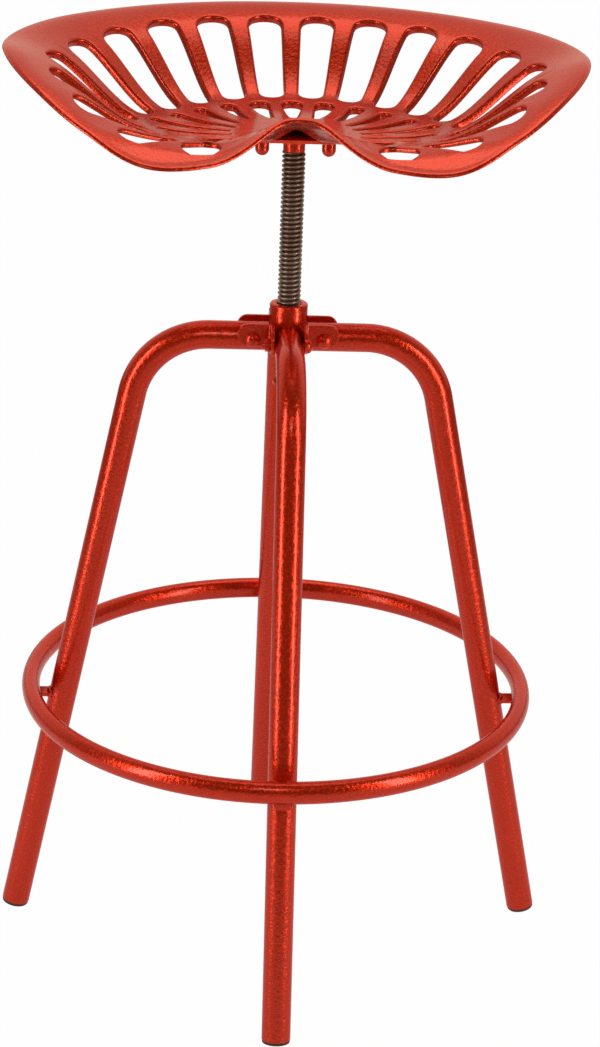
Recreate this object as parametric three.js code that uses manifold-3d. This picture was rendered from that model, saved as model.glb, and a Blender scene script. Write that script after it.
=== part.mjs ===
// Tractor seat stool. Four bent tube legs are bolted round a threaded hub, a foot ring rests on tabs on
// their outsides, and a slotted pan seat turns up and down on a screw spindle.
// Millimetres, +Z up, front towards -Y. The origin is on the floor under the spindle.
import * as THREE from "three";
import { mergeVertices } from "three/addons/utils/BufferGeometryUtils.js";
import Module from "manifold-3d";

const wasm = await Module();
wasm.setup();

// Clearances
const fitGap = 0.3; // between pieces that touch or hold each other
const cutOverrun = 5; // how far a cutting solid passes the faces it cuts

// Legs: a level run at the hub, one bend and a straight run to the floor
const legDiameter = 25;
const legWall = 1.5;
const legAxisHeight = 563.5;
const legFloorRadius = 240.4; // from the spindle axis to the leg axis, at floor level
const legLeanDeg = 11.7;
const legBendRadius = 68;
const legEndHeight = 4; // middle of the cut end above the floor
const legSides = 14;
const legBoreSides = 8;
const legBendSteps = 7;

// Foot plugs
const plugFlange = 2.7;
const plugDepth = 15;

// Foot ring: an upright oval tube, and the welded tabs that it rests on
const ringReach = 31.85; // of the tube's middle, out from the legs' axes
const ringHeight = 233;
const ringWidth = 16;
const ringDepth = 20;
const ringWall = 1.2;
const ringSteps = 36;
const ringSides = 12;
const ringBoreSides = 6;
const ringTabWidth = 16;
const ringTabThickness = 3.3;
const ringTabCorner = 3;
const ringWeldWidth = 8; // the weld on each tab that fills up to the ring
const ringWeldHeight = 1.8;
const ringVentDiameter = 4;

// Screw spindle and the hub nut it runs in
const threadDiameter = 20;
const threadPitch = 4;
const threadDepth = 2.25;
const threadSides = 12;
const threadGap = 0.5; // radial, between screw and nut
const threadChamfer = 1.5;
const hubDiameter = 33;
const hubHeight = 46;
const hubDrop = 15.5; // of its lower end, below the legs' axis
const hubChamfer = 1;
const hubSides = 24;
const screwShown = 133; // thread between the hub and the painted neck, as photographed
const neckDiameter = 19.4;
const neckHeight = 14.5;
const tenonDiameter = 14;
const tenonRise = 1; // above the seat plate, into the hollow of the seat's ridge
const turnsLeft = 6; // whole turns that the seat can still be wound up
const stopMargin = 0.7;

// Stop washer and its shoulder screw at the spindle's lower end
const stopWasherDiameter = 24;
const stopWasherThickness = 3;
const stopScrewDiameter = 8;
const stopScrewDepth = 18;
const shoulderDiameter = 10;
const stopHeadDiameter = 16;
const stopHeadHeight = 5;

// Hub brackets: bent strips in the corners between the legs
const bracketThickness = 3;
const bracketHeight = 19.5;
const bracketRise = 5.1; // of its middle above the legs' axis
const bracketReach = 44; // from the spindle axis to the end of a wing
const bracketBend = 2; // inside radius
const bracketCorner = 9; // rounding of the wing ends
const hubWeldWidth = 5;

// Leg bolts and nuts
const legBoltRadius = 31; // from the spindle axis
const legBoltRise = 0.8; // above the legs' axis
const legBoltDiameter = 6;
const legHeadDiameter = 13;
const legHeadHeight = 4.5;
const legNutAcross = 10;
const legNutHeight = 5;
const boltEnd = 2; // past the nut
const boltSides = 10;

// Seat plate, and the studs and cap nuts that hold the seat on it
const plateThickness = 3;
const plateSide = 74;
const plateCorner = 9;
const studSpacing = 56;
const studDiameter = 6;
const studDepth = 2; // into the seat's underside
const capNutDiameter = 11.7;
const capNutHeight = 12.2;
const capNutBore = 8;

// Seat pan. It is drawn round a fan centre in front of the spindle, where the lines of all slots meet.
// Stations go round it every stationDeg, from the middle of the back (0) to the pommel (180).
const seatThickness = 3.5;
const seatCrest = 243.6; // half the seat's width at the top of the rim
const seatRise = 73.6; // from the pan to the top of the rim at the back
const fanForward = 40;
const lipRadius = 4;
const slotPitchDeg = 14.4;
const outerSlotsPerSide = 10;
const innerSlotsPerSide = 9;
const pommelRise = 25.5;
const pommelHalfWidth = 74;
const ridgeHalfWidth = 21; // of the ridge behind the pommel, over the plate
const ridgeFlare = 42; // from the plate's front edge to where the ridge has the pommel's width
const ridgeBack = 22; // how far behind the spindle the ridge fades out
const flatMargin = 1.5; // of the pan's flat round the plate
const flatFade = 26; // from flat to full shape
const stationDeg = 15;
// plan radius of the rim's top, as shares of seatCrest
const crestShares = [0.915, 0.923, 0.937, 0.968, 1.002, 1.016, 0.974, 0.904, 0.815, 0.7, 0.455, 0.3, 0.277];
// its height, and those of the slot ends, as shares of seatRise
const crestRiseShares = [1, 0.998, 0.993, 0.975, 0.952, 0.907, 0.886, 0.689, 0.355, 0.03, 0.03, 0.075, 0.075];
const outerRiseShares = [0.892, 0.892, 0.885, 0.856, 0.8, 0.79, 0.755, 0.588, 0.293, 0.11, 0.06, 0.05, 0.045];
const innerRiseShares = [0.096, 0.09, 0.075, 0.066, 0.06, 0.09, 0.09, 0.1, 0.14, 0.12, 0.05, 0.01, 0.01];
const panRiseShares = [0, 0, 0, 0, 0, 0, 0.01, 0.04, 0.05, 0.02, 0, 0, 0];
// radii of the slot ends and of the pan's flat part, as shares of the rim's
const outerEndShares = [0.871, 0.873, 0.877, 0.87, 0.855, 0.86, 0.868, 0.88, 0.877, 0.8, 0.8, 0.8, 0.8];
const innerEndShares = [0.58, 0.579, 0.571, 0.552, 0.545, 0.555, 0.545, 0.546, 0.61, 0.6, 0.6, 0.6, 0.6];
const panEndShares = [0.36, 0.36, 0.355, 0.345, 0.34, 0.345, 0.34, 0.34, 0.38, 0.39, 0.4, 0.36, 0.36];
// the ridge's height from its fading end to the pommel's edge, as shares of pommelRise
const ridgeShares = [0, 0.1, 0.22, 0.4, 0.62, 0.83, 1];
// radii of the wedge slots' tips, as shares of those of their outer ends
const wedgeTipShares = [0.64, 0.64, 0.64, 0.54, 0.48, 0.46, 0.485, 0.515, 0.61, 0.72, 0.72, 0.72, 0.72];
// radii of those outer ends, as shares of those of the outer slots' inner ends
const wedgeEndShares = [0.925, 0.925, 0.925, 0.925, 0.925, 0.925, 0.865, 0.8, 0.665, 0.62, 0.62, 0.62, 0.62];
// a slot's widths, as shares of the radius there
const slotInnerWidthShares = [...Array(9).fill(0.168), ...Array(4).fill(0.186)];
const slotOuterWidthShares = [...Array(9).fill(0.148), ...Array(4).fill(0.2)];
const wedgeTipWidthShare = 0.035;
const wedgeWidthShares = [0.146, 0.14, 0.112, 0.105, 0.1, 0.1, 0.1, 0.11, 0.165, 0.14, 0.14, 0.14, 0.14];
// a slot's narrowed end, as [distance from the end, width], both shares of its full width
const slotEndShares = [[0, 0.45], [0.3, 1]];
const slotMiddleShares = [0.5]; // stations between a slot's ends
const seatAngularSteps = 50;
// rings of the seat's surface, each a span between the profile's knots and a share of it
const seatRingShares = [
  [0, 0.12], [0, 0.25], [0, 0.5], [1, 0], [2, 0], [2, 0.33], [2, 0.67], [3, 0], [4, 0],
];

const quarterTurn = Math.PI / 2;
const legNames = ["right", "back", "left", "front"]; // a quarter turn apart, from +X
const cornerNames = ["back_right", "back_left", "front_left", "front_right"];

const paint = { color: 0xb93222, roughness: 0.32, metalness: 0.25 };
const steel = { color: 0x4a413a, roughness: 0.42, metalness: 0.9 };
const rubber = { color: 0x1d1a19, roughness: 0.7, metalness: 0 };

function toSolid(geometry) {
  const bare = geometry.clone();
  bare.deleteAttribute("normal");
  bare.deleteAttribute("uv");
  const merged = mergeVertices(bare);
  const corners = merged.index.array;
  const kept = [];
  for (let i = 0; i < corners.length; i += 3) {
    const [a, b, c] = corners.slice(i, i + 3);
    if (a !== b && b !== c && c !== a) kept.push(a, b, c);
  }
  const vertProperties = new Float32Array(merged.attributes.position.array);
  return new wasm.Manifold(new wasm.Mesh({ numProp: 3, vertProperties, triVerts: new Uint32Array(kept) }));
}

function toGeometry(solid) {
  const { vertProperties, triVerts } = solid.getMesh();
  const geometry = new THREE.BufferGeometry();
  geometry.setAttribute("position", new THREE.BufferAttribute(vertProperties, 3));
  geometry.setIndex(new THREE.BufferAttribute(triVerts, 1));
  geometry.computeVertexNormals();
  return geometry;
}

function cut(geometry, cutters) {
  return toGeometry(cutters.reduce((solid, cutter) => solid.subtract(toSolid(cutter)), toSolid(geometry)));
}

function part(name, geometry, look) {
  const mesh = new THREE.Mesh(geometry, new THREE.MeshStandardMaterial(look));
  mesh.name = name;
  return mesh;
}

function circle(radius, sides) {
  return ellipse(radius, radius, sides);
}

function ellipse(halfWidth, halfHeight, sides) {
  return Array.from({ length: sides }, (_, i) => {
    const angle = (2 * Math.PI * i) / sides;
    return new THREE.Vector2(halfWidth * Math.cos(angle), halfHeight * Math.sin(angle));
  });
}

function slab(outline, holes, thickness) {
  const shape = new THREE.Shape(outline);
  shape.holes = holes.map((hole) => new THREE.Path(hole));
  return new THREE.ExtrudeGeometry(shape, { depth: thickness, bevelEnabled: false });
}

function roundedRectangle(width, depth, corner) {
  const shape = new THREE.Shape();
  const x = width / 2 - corner;
  const y = depth / 2 - corner;
  shape.absarc(x, y, corner, 0, quarterTurn);
  shape.absarc(-x, y, corner, quarterTurn, 2 * quarterTurn);
  shape.absarc(-x, -y, corner, 2 * quarterTurn, 3 * quarterTurn);
  shape.absarc(x, -y, corner, 3 * quarterTurn, 4 * quarterTurn);
  return shape.getPoints(2);
}

// A piece turned about Z, from [radius, z] pairs
function turned(profile, sides) {
  const points = profile.map(([r, z]) => new THREE.Vector2(r, z));
  return new THREE.LatheGeometry(points, sides).rotateX(quarterTurn);
}

function cylinder(radius, bottom, top, sides) {
  return turned([[0, bottom], [radius, bottom], [radius, top], [0, top]], sides);
}

// A dome as [radius, rise] pairs, from its rim to its top
function dome(radius, height, steps) {
  return Array.from({ length: steps + 1 }, (_, i) => {
    const angle = (quarterTurn * i) / steps;
    return [i < steps ? radius * Math.cos(angle) : 0, height * Math.sin(angle)];
  });
}

// Skins over closed rings of points. A ring of one point is a pole, and a larger end ring is capped.
function loft(rings) {
  const positions = [];
  const index = [];
  const starts = rings.map((ring) => {
    const start = positions.length / 3;
    ring.forEach((point) => positions.push(point.x, point.y, point.z));
    return start;
  });
  const corner = (ring, i) => starts[ring] + (i % rings[ring].length);
  for (let r = 0; r + 1 < rings.length; r++) {
    const around = Math.max(rings[r].length, rings[r + 1].length);
    for (let i = 0; i < around; i++) {
      if (rings[r + 1].length > 1) index.push(corner(r, i), corner(r + 1, i + 1), corner(r + 1, i));
      if (rings[r].length > 1) index.push(corner(r, i), corner(r, i + 1), corner(r + 1, i + 1));
    }
  }
  const last = rings.length - 1;
  for (let i = 1; i + 1 < rings[0].length; i++) index.push(corner(0, 0), corner(0, i + 1), corner(0, i));
  for (let i = 1; i + 1 < rings[last].length; i++) {
    index.push(corner(last, 0), corner(last, i), corner(last, i + 1));
  }
  const geometry = new THREE.BufferGeometry();
  geometry.setAttribute("position", new THREE.Float32BufferAttribute(positions, 3));
  geometry.setIndex(index);
  geometry.computeVertexNormals();
  return geometry;
}

// A path whose steps fall on its given points, so that straight runs take one step each
class StationCurve extends THREE.Curve {
  constructor(points) {
    super();
    this.points = points;
  }
  getUtoTmapping(u) {
    return u;
  }
  getPoint(t, target = new THREE.Vector3()) {
    const at = t * (this.points.length - 1);
    const i = Math.min(Math.floor(at), this.points.length - 2);
    return target.lerpVectors(this.points[i], this.points[i + 1], at - i);
  }
}

function sweep(outline, holes, points) {
  const shape = new THREE.Shape(outline);
  shape.holes = holes.map((hole) => new THREE.Path(hole));
  const extrudePath = new StationCurve(points);
  return new THREE.ExtrudeGeometry(shape, { steps: points.length - 1, extrudePath });
}

// Legs and what they carry, drawn towards +X
const legRadius = legDiameter / 2;
const hubRadius = hubDiameter / 2;
const legLean = THREE.MathUtils.degToRad(legLeanDeg);
const legFootRadius = legAxisRadius(legEndHeight);
const ringRadius = legAxisRadius(ringHeight) + ringReach;
const bracketMiddle = legAxisHeight + bracketRise;
const legBoltHeight = legAxisHeight + legBoltRise;
const bracketInside = legRadius + fitGap;
const bracketOutside = bracketInside + bracketThickness;
const legBoltHole = legBoltDiameter / 2 + fitGap;

function legAxisRadius(height) {
  return legFloorRadius - height * Math.tan(legLean);
}

function legPath() {
  const turn = quarterTurn - legLean;
  const bendX = legAxisRadius(legAxisHeight) - legBendRadius * Math.tan(turn / 2);
  const bendZ = legAxisHeight - legBendRadius;
  const points = [new THREE.Vector3(hubRadius + fitGap, 0, legAxisHeight)];
  for (let i = 0; i <= legBendSteps; i++) {
    const angle = quarterTurn - (turn * i) / legBendSteps;
    const x = bendX + legBendRadius * Math.cos(angle);
    points.push(new THREE.Vector3(x, 0, bendZ + legBendRadius * Math.sin(angle)));
  }
  points.push(new THREE.Vector3(legFootRadius, 0, legEndHeight));
  return points;
}

function legGeometry() {
  const bore = circle(legRadius - legWall, legBoreSides);
  const tube = sweep(circle(legRadius, legSides), [bore], legPath());
  const reach = legRadius + cutOverrun;
  const drill = cylinder(legBoltHole, -reach, reach, boltSides)
    .rotateX(quarterTurn)
    .translate(legBoltRadius, 0, legBoltHeight);
  return cut(tube, [drill]);
}

// A flanged plug in the leg's end, cut level at the floor so that it stands flat
function plugGeometry() {
  const stemRadius = (legRadius - legWall) * Math.cos(Math.PI / legBoreSides) - fitGap;
  const profile = [
    [0, -plugFlange], [legRadius, -plugFlange], [legRadius, -fitGap],
    [stemRadius, -fitGap], [stemRadius, plugDepth], [0, plugDepth],
  ];
  const plug = turned(profile, legSides).rotateY(-legLean).translate(legFootRadius, 0, legEndHeight);
  const floorDepth = 2 * plugFlange;
  const floor = new THREE.BoxGeometry(2 * legDiameter, 2 * legDiameter, floorDepth);
  return cut(plug, [floor.translate(legFootRadius, 0, -floorDepth / 2)]);
}

// The tab under the ring, cut to the leg that it is welded to, with the weld between it and the ring
function ringTabGeometry() {
  const ringBottom = ringHeight - ringDepth / 2 - fitGap;
  const top = ringBottom - ringWeldHeight;
  const from = legAxisRadius(top);
  const length = 2 * (ringRadius + ringWeldWidth / 4 - from);
  const outline = roundedRectangle(length, ringTabWidth, ringTabCorner);
  const tab = slab(outline, [], ringTabThickness).translate(from, 0, top - ringTabThickness);
  const weldDepth = ringWeldHeight + ringTabThickness / 2;
  const weld = new THREE.BoxGeometry(ringWeldWidth, ringTabWidth - ringTabCorner, weldDepth);
  weld.translate(ringRadius - ringWeldWidth / 4, 0, ringBottom - weldDepth / 2);
  const heights = [top - legDiameter, top + legDiameter];
  const legPoints = heights.map((height) => new THREE.Vector3(legAxisRadius(height), 0, height));
  const leg = sweep(circle(legRadius + fitGap, 2 * legSides), [], legPoints);
  const inside = new THREE.BoxGeometry(length, 2 * ringTabWidth, 2 * legDiameter);
  inside.translate(from - length / 2, 0, top);
  return cut(toGeometry(toSolid(tab).add(toSolid(weld))), [leg, inside]);
}

// The ring's tube, with its surface moved out by spare
function ringTube(spare, steps, sides) {
  const section = ellipse(ringWidth / 2 + spare, ringDepth / 2 + spare, sides);
  const profile = [...section, section[0]].map(({ x, y }) => [ringRadius + x, ringHeight + y]);
  return turned(profile, steps);
}

function footRingGeometry() {
  const bore = ringTube(-ringWall, ringSteps, ringBoreSides);
  const vents = legNames.map((_, i) => {
    const from = ringRadius - ringWidth;
    const vent = cylinder(ringVentDiameter / 2, from, ringRadius, boltSides);
    return vent.rotateY(quarterTurn).translate(0, 0, ringHeight).rotateZ(i * quarterTurn);
  });
  return cut(ringTube(0, ringSteps, ringSides), [bore, ...vents]);
}

// A bolt along Z with its domed head below the face at 0
function domeBolt(headDiameter, headHeight, shankDiameter, length) {
  const head = dome(headDiameter / 2, headHeight, 3).map(([r, rise]) => [r, -fitGap - rise]).reverse();
  const shank = shankDiameter / 2;
  return turned([...head, [shank, -fitGap], [shank, length], [0, length]], boltSides);
}

function hexNutGeometry() {
  const outline = circle(legNutAcross / Math.sqrt(3), 6);
  return slab(outline, [circle(legBoltHole, boltSides)], legNutHeight);
}

function capNutGeometry() {
  const bore = studDiameter / 2 + fitGap;
  const radius = capNutDiameter / 2;
  const shoulder = capNutHeight - radius;
  const cap = dome(radius, radius, 4).map(([r, rise]) => [r, -shoulder - rise]).reverse();
  const chamfer = hubChamfer / 2;
  const mouth = [[radius, -chamfer], [radius - chamfer, 0], [bore, 0], [bore, -capNutBore], [0, -capNutBore]];
  return turned([...cap, ...mouth], boltSides);
}

// Brackets, drawn in the corner between +X and +Y, round the height 0
function bracketGeometry() {
  const centre = bracketOutside + bracketBend;
  const outline = new THREE.Shape();
  outline.moveTo(bracketReach, bracketInside);
  outline.lineTo(bracketReach, bracketOutside);
  outline.absarc(centre, centre, bracketBend, -quarterTurn, Math.PI, true);
  outline.lineTo(bracketOutside, bracketReach);
  outline.lineTo(bracketInside, bracketReach);
  outline.absarc(centre, centre, bracketBend + bracketThickness, Math.PI, 3 * quarterTurn);
  const strip = slab(outline.getPoints(4), [], bracketHeight).translate(0, 0, -bracketHeight / 2);
  const wing = roundedRectangle(2 * bracketReach, bracketHeight, bracketCorner);
  const wingX = slab(wing, [], bracketReach + cutOverrun).rotateX(-quarterTurn);
  const wingY = wingX.clone().rotateZ(-quarterTurn);
  const rounded = toSolid(strip).intersect(toSolid(wingX)).intersect(toSolid(wingY));
  const drill = cylinder(legBoltHole, -bracketOutside - cutOverrun, bracketOutside + cutOverrun, boltSides);
  const drillX = drill.clone().rotateX(quarterTurn).translate(legBoltRadius, 0, legBoltRise - bracketRise);
  const drillY = drill.clone().rotateY(quarterTurn).translate(0, legBoltRadius, legBoltRise - bracketRise);
  return cut(toGeometry(rounded), [drillX, drillY]);
}

// A right-hand thread as a solid rod. Crest and root lie on helices half a pitch apart, and both ends
// close in a chamfer. Every rod that starts a whole number of pitches away meshes with it.
function threadedRod(crest, root, endRadius, bottom, turns) {
  const rows = 2 * turns;
  const around = threadSides;
  const helix = (i, row) => {
    const angle = (2 * Math.PI * i) / around;
    const radius = row % 2 ? root : crest;
    const z = bottom + threadPitch * (i / around + row / 2);
    return new THREE.Vector3(radius * Math.cos(angle), radius * Math.sin(angle), z);
  };
  const ends = [bottom - threadChamfer, bottom + threadPitch * (turns + 1) + threadChamfer];
  const end = (side, i) => {
    const angle = (2 * Math.PI * i) / around;
    return new THREE.Vector3(endRadius * Math.cos(angle), endRadius * Math.sin(angle), ends[side]);
  };
  const middles = ends.map((z) => new THREE.Vector3(0, 0, z));
  const faces = [];
  for (let i = 0; i < around; i++) {
    for (let row = 0; row < rows; row++) {
      faces.push([helix(i, row), helix(i + 1, row), helix(i + 1, row + 1)]);
      faces.push([helix(i, row), helix(i + 1, row + 1), helix(i, row + 1)]);
    }
    faces.push([end(0, i), end(0, i + 1), helix(i + 1, 0)], [end(0, i), helix(i + 1, 0), helix(i, 0)]);
    faces.push([helix(i, rows), helix(i + 1, rows), end(1, i + 1)]);
    faces.push([helix(i, rows), end(1, i + 1), end(1, i)]);
    faces.push([middles[0], end(0, i + 1), end(0, i)], [middles[1], end(1, i), end(1, i + 1)]);
  }
  // the thread's two starting steps, one pitch high
  for (let row = 0; row < 2; row++) {
    faces.push([end(0, 0), helix(0, row), helix(0, row + 1)]);
    faces.push([end(1, 0), helix(around, rows - row), helix(around, rows - row - 1)]);
  }
  return new THREE.BufferGeometry().setFromPoints(faces.flat());
}

const hubBottom = legAxisHeight - hubDrop;
const hubTop = hubBottom + hubHeight;
const neckBottom = hubTop + screwShown;
const neckTop = neckBottom + neckHeight;
const plateTop = neckTop + fitGap + plateThickness;
const threadRadius = threadDiameter / 2;
const rootRadius = threadRadius - threadDepth;
const spindleBottom = hubBottom - turnsLeft * threadPitch - stopMargin;
const threadBottom = spindleBottom + threadChamfer;
const stopEndRadius = rootRadius - threadChamfer / 2;

function spindleGeometry() {
  // the rod runs a pitch past both ends of the screw, which are cut to a chamfer and to the neck
  const turns = Math.ceil((neckBottom - threadBottom) / threadPitch) + 2;
  const rod = threadedRod(threadRadius, rootRadius, stopEndRadius, threadBottom - 2 * threadPitch, turns);
  const blankRadius = threadRadius + threadGap;
  const blank = turned([
    [0, spindleBottom], [stopEndRadius, spindleBottom],
    [blankRadius, spindleBottom + blankRadius - stopEndRadius], [blankRadius, neckBottom], [0, neckBottom],
  ], threadSides);
  const neckRadius = neckDiameter / 2;
  const tenon = tenonDiameter / 2;
  const lastThread = neckBottom - threadPitch;
  const profile = [
    [0, lastThread], [rootRadius, lastThread], [rootRadius, neckBottom], [neckRadius, neckBottom],
    [neckRadius, neckTop], [tenon, neckTop], [tenon, plateTop + tenonRise], [0, plateTop + tenonRise],
  ];
  const whole = toSolid(rod).intersect(toSolid(blank)).add(toSolid(turned(profile, hubSides)));
  const screwHole = cylinder(
    stopScrewDiameter / 2 + fitGap, spindleBottom - cutOverrun, spindleBottom + stopScrewDepth, boltSides,
  );
  return toGeometry(whole.subtract(toSolid(screwHole)));
}

// The collar with its thread, and the welds that run from it into the brackets' bends
function hubNutGeometry() {
  const edge = hubRadius - hubChamfer;
  const collar = toSolid(turned([
    [0, hubBottom], [edge, hubBottom], [hubRadius, hubBottom + hubChamfer],
    [hubRadius, hubTop - hubChamfer], [edge, hubTop], [0, hubTop],
  ], hubSides));
  const bend = bracketBend + bracketThickness;
  const weldReach = (bracketInside + bend) * Math.SQRT2 - bend - fitGap;
  const weld = new THREE.BoxGeometry(weldReach, hubWeldWidth, bracketHeight);
  weld.translate(weldReach / 2, 0, bracketMiddle).rotateZ(quarterTurn / 2);
  let body = collar;
  for (let i = 0; i < cornerNames.length; i++) {
    body = body.add(toSolid(weld.clone().rotateZ(i * quarterTurn)));
  }
  const pitchesUp = Math.floor((hubBottom - threadBottom) / threadPitch) - 1;
  const tapBottom = threadBottom + pitchesUp * threadPitch;
  const turns = Math.ceil((hubTop - tapBottom) / threadPitch) + 1;
  const tap = threadedRod(threadRadius + threadGap, rootRadius + threadGap, rootRadius, tapBottom, turns);
  return toGeometry(body.subtract(toSolid(tap)));
}

function stopWasherGeometry() {
  const hole = circle(shoulderDiameter / 2 + fitGap, boltSides);
  return slab(circle(stopWasherDiameter / 2, hubSides), [hole], stopWasherThickness);
}

// The shoulder screw, from the spindle's end face at 0 downwards
function stopScrewGeometry() {
  const shoulderBottom = -stopWasherThickness - 3 * fitGap;
  const head = stopHeadDiameter / 2;
  const shoulder = shoulderDiameter / 2;
  const stud = stopScrewDiameter / 2;
  return turned([
    [0, shoulderBottom - stopHeadHeight], [head, shoulderBottom - stopHeadHeight],
    [head, shoulderBottom], [shoulder, shoulderBottom], [shoulder, -fitGap], [stud, -fitGap],
    [stud, stopScrewDepth - 2 * fitGap], [0, stopScrewDepth - 2 * fitGap],
  ], boltSides);
}

function seatPlateGeometry() {
  const at = new THREE.Vector2(studSpacing / 2, studSpacing / 2);
  const centre = new THREE.Vector2(0, 0);
  const hole = circle(studDiameter / 2 + fitGap, boltSides).map((point) => point.add(at));
  const holes = cornerNames.map((_, i) => (
    hole.map((point) => point.clone().rotateAround(centre, i * quarterTurn))
  ));
  holes.push(circle(tenonDiameter / 2 + fitGap, hubSides));
  return slab(roundedRectangle(plateSide, plateSide, plateCorner), holes, plateThickness);
}

// Seat pan surface
const panTop = plateTop + fitGap + seatThickness;
const pommelEdge = -fanForward - seatCrest * crestShares.at(-1) - lipRadius;

function smoothstep(t) {
  return THREE.MathUtils.smoothstep(t, 0, 1);
}

// A smooth curve through evenly spaced values, at a place counted in steps
function throughValues(values, place, before, after) {
  const at = THREE.MathUtils.clamp(place, 0, values.length - 1);
  const i = Math.min(Math.floor(at), values.length - 2);
  const previous = i > 0 ? values[i - 1] : before;
  const next = i + 2 < values.length ? values[i + 2] : after;
  return catmullRom(at - i, previous, values[i], values[i + 1], next);
}

function catmullRom(t, p0, p1, p2, p3) {
  const rise0 = (p2 - p0) / 2;
  const rise1 = (p3 - p1) / 2;
  return hermite(t, p1, p2, rise0, rise1);
}

function hermite(t, from, to, slopeFrom, slopeTo) {
  const t2 = t * t;
  const t3 = t2 * t;
  return (2 * t3 - 3 * t2 + 1) * from + (3 * t2 - 2 * t3) * to
    + (t3 - 2 * t2 + t) * slopeFrom + (t3 - t2) * slopeTo;
}

// A station table read at any angle from the back; both halves of the seat are alike
function around(shares, angle) {
  const degrees = Math.abs(THREE.MathUtils.radToDeg(Math.atan2(Math.sin(angle), Math.cos(angle))));
  return throughValues(shares, degrees / stationDeg, shares[1], shares.at(-2));
}

function crestRadius(angle) {
  return seatCrest * around(crestShares, angle);
}

// The profile's knots along one direction: pole, pan, inner slot ends, outer slot ends and rim
function knotsAt(angle) {
  const crest = crestRadius(angle);
  const radii = [panEndShares, innerEndShares, outerEndShares].map((shares) => crest * around(shares, angle));
  const rises = [panRiseShares, innerRiseShares, outerRiseShares, crestRiseShares];
  return {
    radii: [0, ...radii, crest],
    heights: [0, ...rises.map((shares) => seatRise * around(shares, angle))],
  };
}

// A curve through the knots that never overshoots them and is level at both ends
function profileHeight({ radii, heights }, radius) {
  const last = radii.length - 1;
  const slopes = radii.map((_, i) => {
    if (i === 0 || i === last) return 0;
    const before = (heights[i] - heights[i - 1]) / (radii[i] - radii[i - 1]);
    const after = (heights[i + 1] - heights[i]) / (radii[i + 1] - radii[i]);
    return before * after > 0 ? (2 * before * after) / (before + after) : 0;
  });
  const at = Math.min(radius, radii[last]);
  const i = Math.max(0, radii.findIndex((knot) => knot >= at) - 1);
  const span = radii[i + 1] - radii[i];
  const t = (at - radii[i]) / span;
  return hermite(t, heights[i], heights[i + 1], slopes[i] * span, slopes[i + 1] * span);
}

// The ridge that grows from the pan's middle into the pommel
function ridgeHeight(x, y) {
  const along = (ridgeBack - y) / (ridgeBack - pommelEdge);
  const steps = ridgeShares.length - 1;
  const height = pommelRise * throughValues(ridgeShares, along * steps, 0, ridgeShares.at(-1));
  const flare = smoothstep((-plateSide / 2 - y) / ridgeFlare);
  const halfWidth = THREE.MathUtils.lerp(ridgeHalfWidth, pommelHalfWidth, flare);
  return height * Math.cos(quarterTurn * Math.min(Math.abs(x) / halfWidth, 1)) ** 2;
}

function seatHeight(x, y) {
  const fanY = y + fanForward;
  const knots = knotsAt(Math.atan2(x, fanY));
  const flatHalf = plateSide / 2 + flatMargin;
  const clear = Math.hypot(Math.max(Math.abs(x) - flatHalf, 0), Math.max(Math.abs(y) - flatHalf, 0));
  const shaped = profileHeight(knots, Math.hypot(x, fanY)) * smoothstep(clear / flatFade);
  return panTop + shaped + ridgeHeight(x, y);
}

// A point of the seat's top surface, moved along its normal by offset
function seatPoint(x, y, offset) {
  const small = seatThickness / 100;
  const slopeX = (seatHeight(x + small, y) - seatHeight(x - small, y)) / (2 * small);
  const slopeY = (seatHeight(x, y + small) - seatHeight(x, y - small)) / (2 * small);
  const normal = new THREE.Vector3(-slopeX, -slopeY, 1).normalize();
  return new THREE.Vector3(x, y, seatHeight(x, y)).addScaledVector(normal, offset);
}

// A point of the rolled edge, out and down from the rim's top
function lipPoint(angle, out, down) {
  const rim = (turn) => {
    const radius = crestRadius(turn);
    return new THREE.Vector2(radius * Math.sin(turn), radius * Math.cos(turn) - fanForward);
  };
  const small = stationDeg / 1000;
  const along = rim(angle + small).sub(rim(angle - small)).normalize();
  const top = rim(angle);
  const height = seatHeight(top.x, top.y) - down;
  return new THREE.Vector3(top.x - along.y * out, top.y + along.x * out, height);
}

function seatRings() {
  const angles = Array.from({ length: seatAngularSteps }, (_, i) => (2 * Math.PI * i) / seatAngularSteps);
  const surface = (offset) => seatRingShares.map(([span, share]) => angles.map((angle) => {
    const { radii } = knotsAt(angle);
    const radius = THREE.MathUtils.lerp(radii[span], radii[Math.min(span + 1, radii.length - 1)], share);
    return seatPoint(radius * Math.sin(angle), radius * Math.cos(angle) - fanForward, offset);
  }));
  const lip = (out, down) => angles.map((angle) => lipPoint(angle, out, down));
  const shoulder = lipRadius * Math.SQRT1_2;
  const inner = lipRadius - seatThickness;
  return [
    [seatPoint(0, -fanForward, 0)],
    ...surface(0),
    lip(shoulder, lipRadius - shoulder),
    lip(lipRadius, lipRadius),
    lip(inner, lipRadius),
    ...surface(-seatThickness).reverse(),
    [seatPoint(0, -fanForward, -seatThickness)],
  ];
}

// A cutter for one slot, square to the seat's surface all along, from [radius, half width] pairs
function slotCutter(angle, stations) {
  const at = (radius, across, offset) => {
    const x = radius * Math.sin(angle) + across * Math.cos(angle);
    const y = radius * Math.cos(angle) - across * Math.sin(angle) - fanForward;
    return seatPoint(x, y, offset);
  };
  const above = cutOverrun;
  const below = -2 * cutOverrun;
  return loft(stations.map(([radius, half]) => [
    at(radius, -half, above), at(radius, half, above), at(radius, half, below), at(radius, -half, below),
  ]));
}

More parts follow.
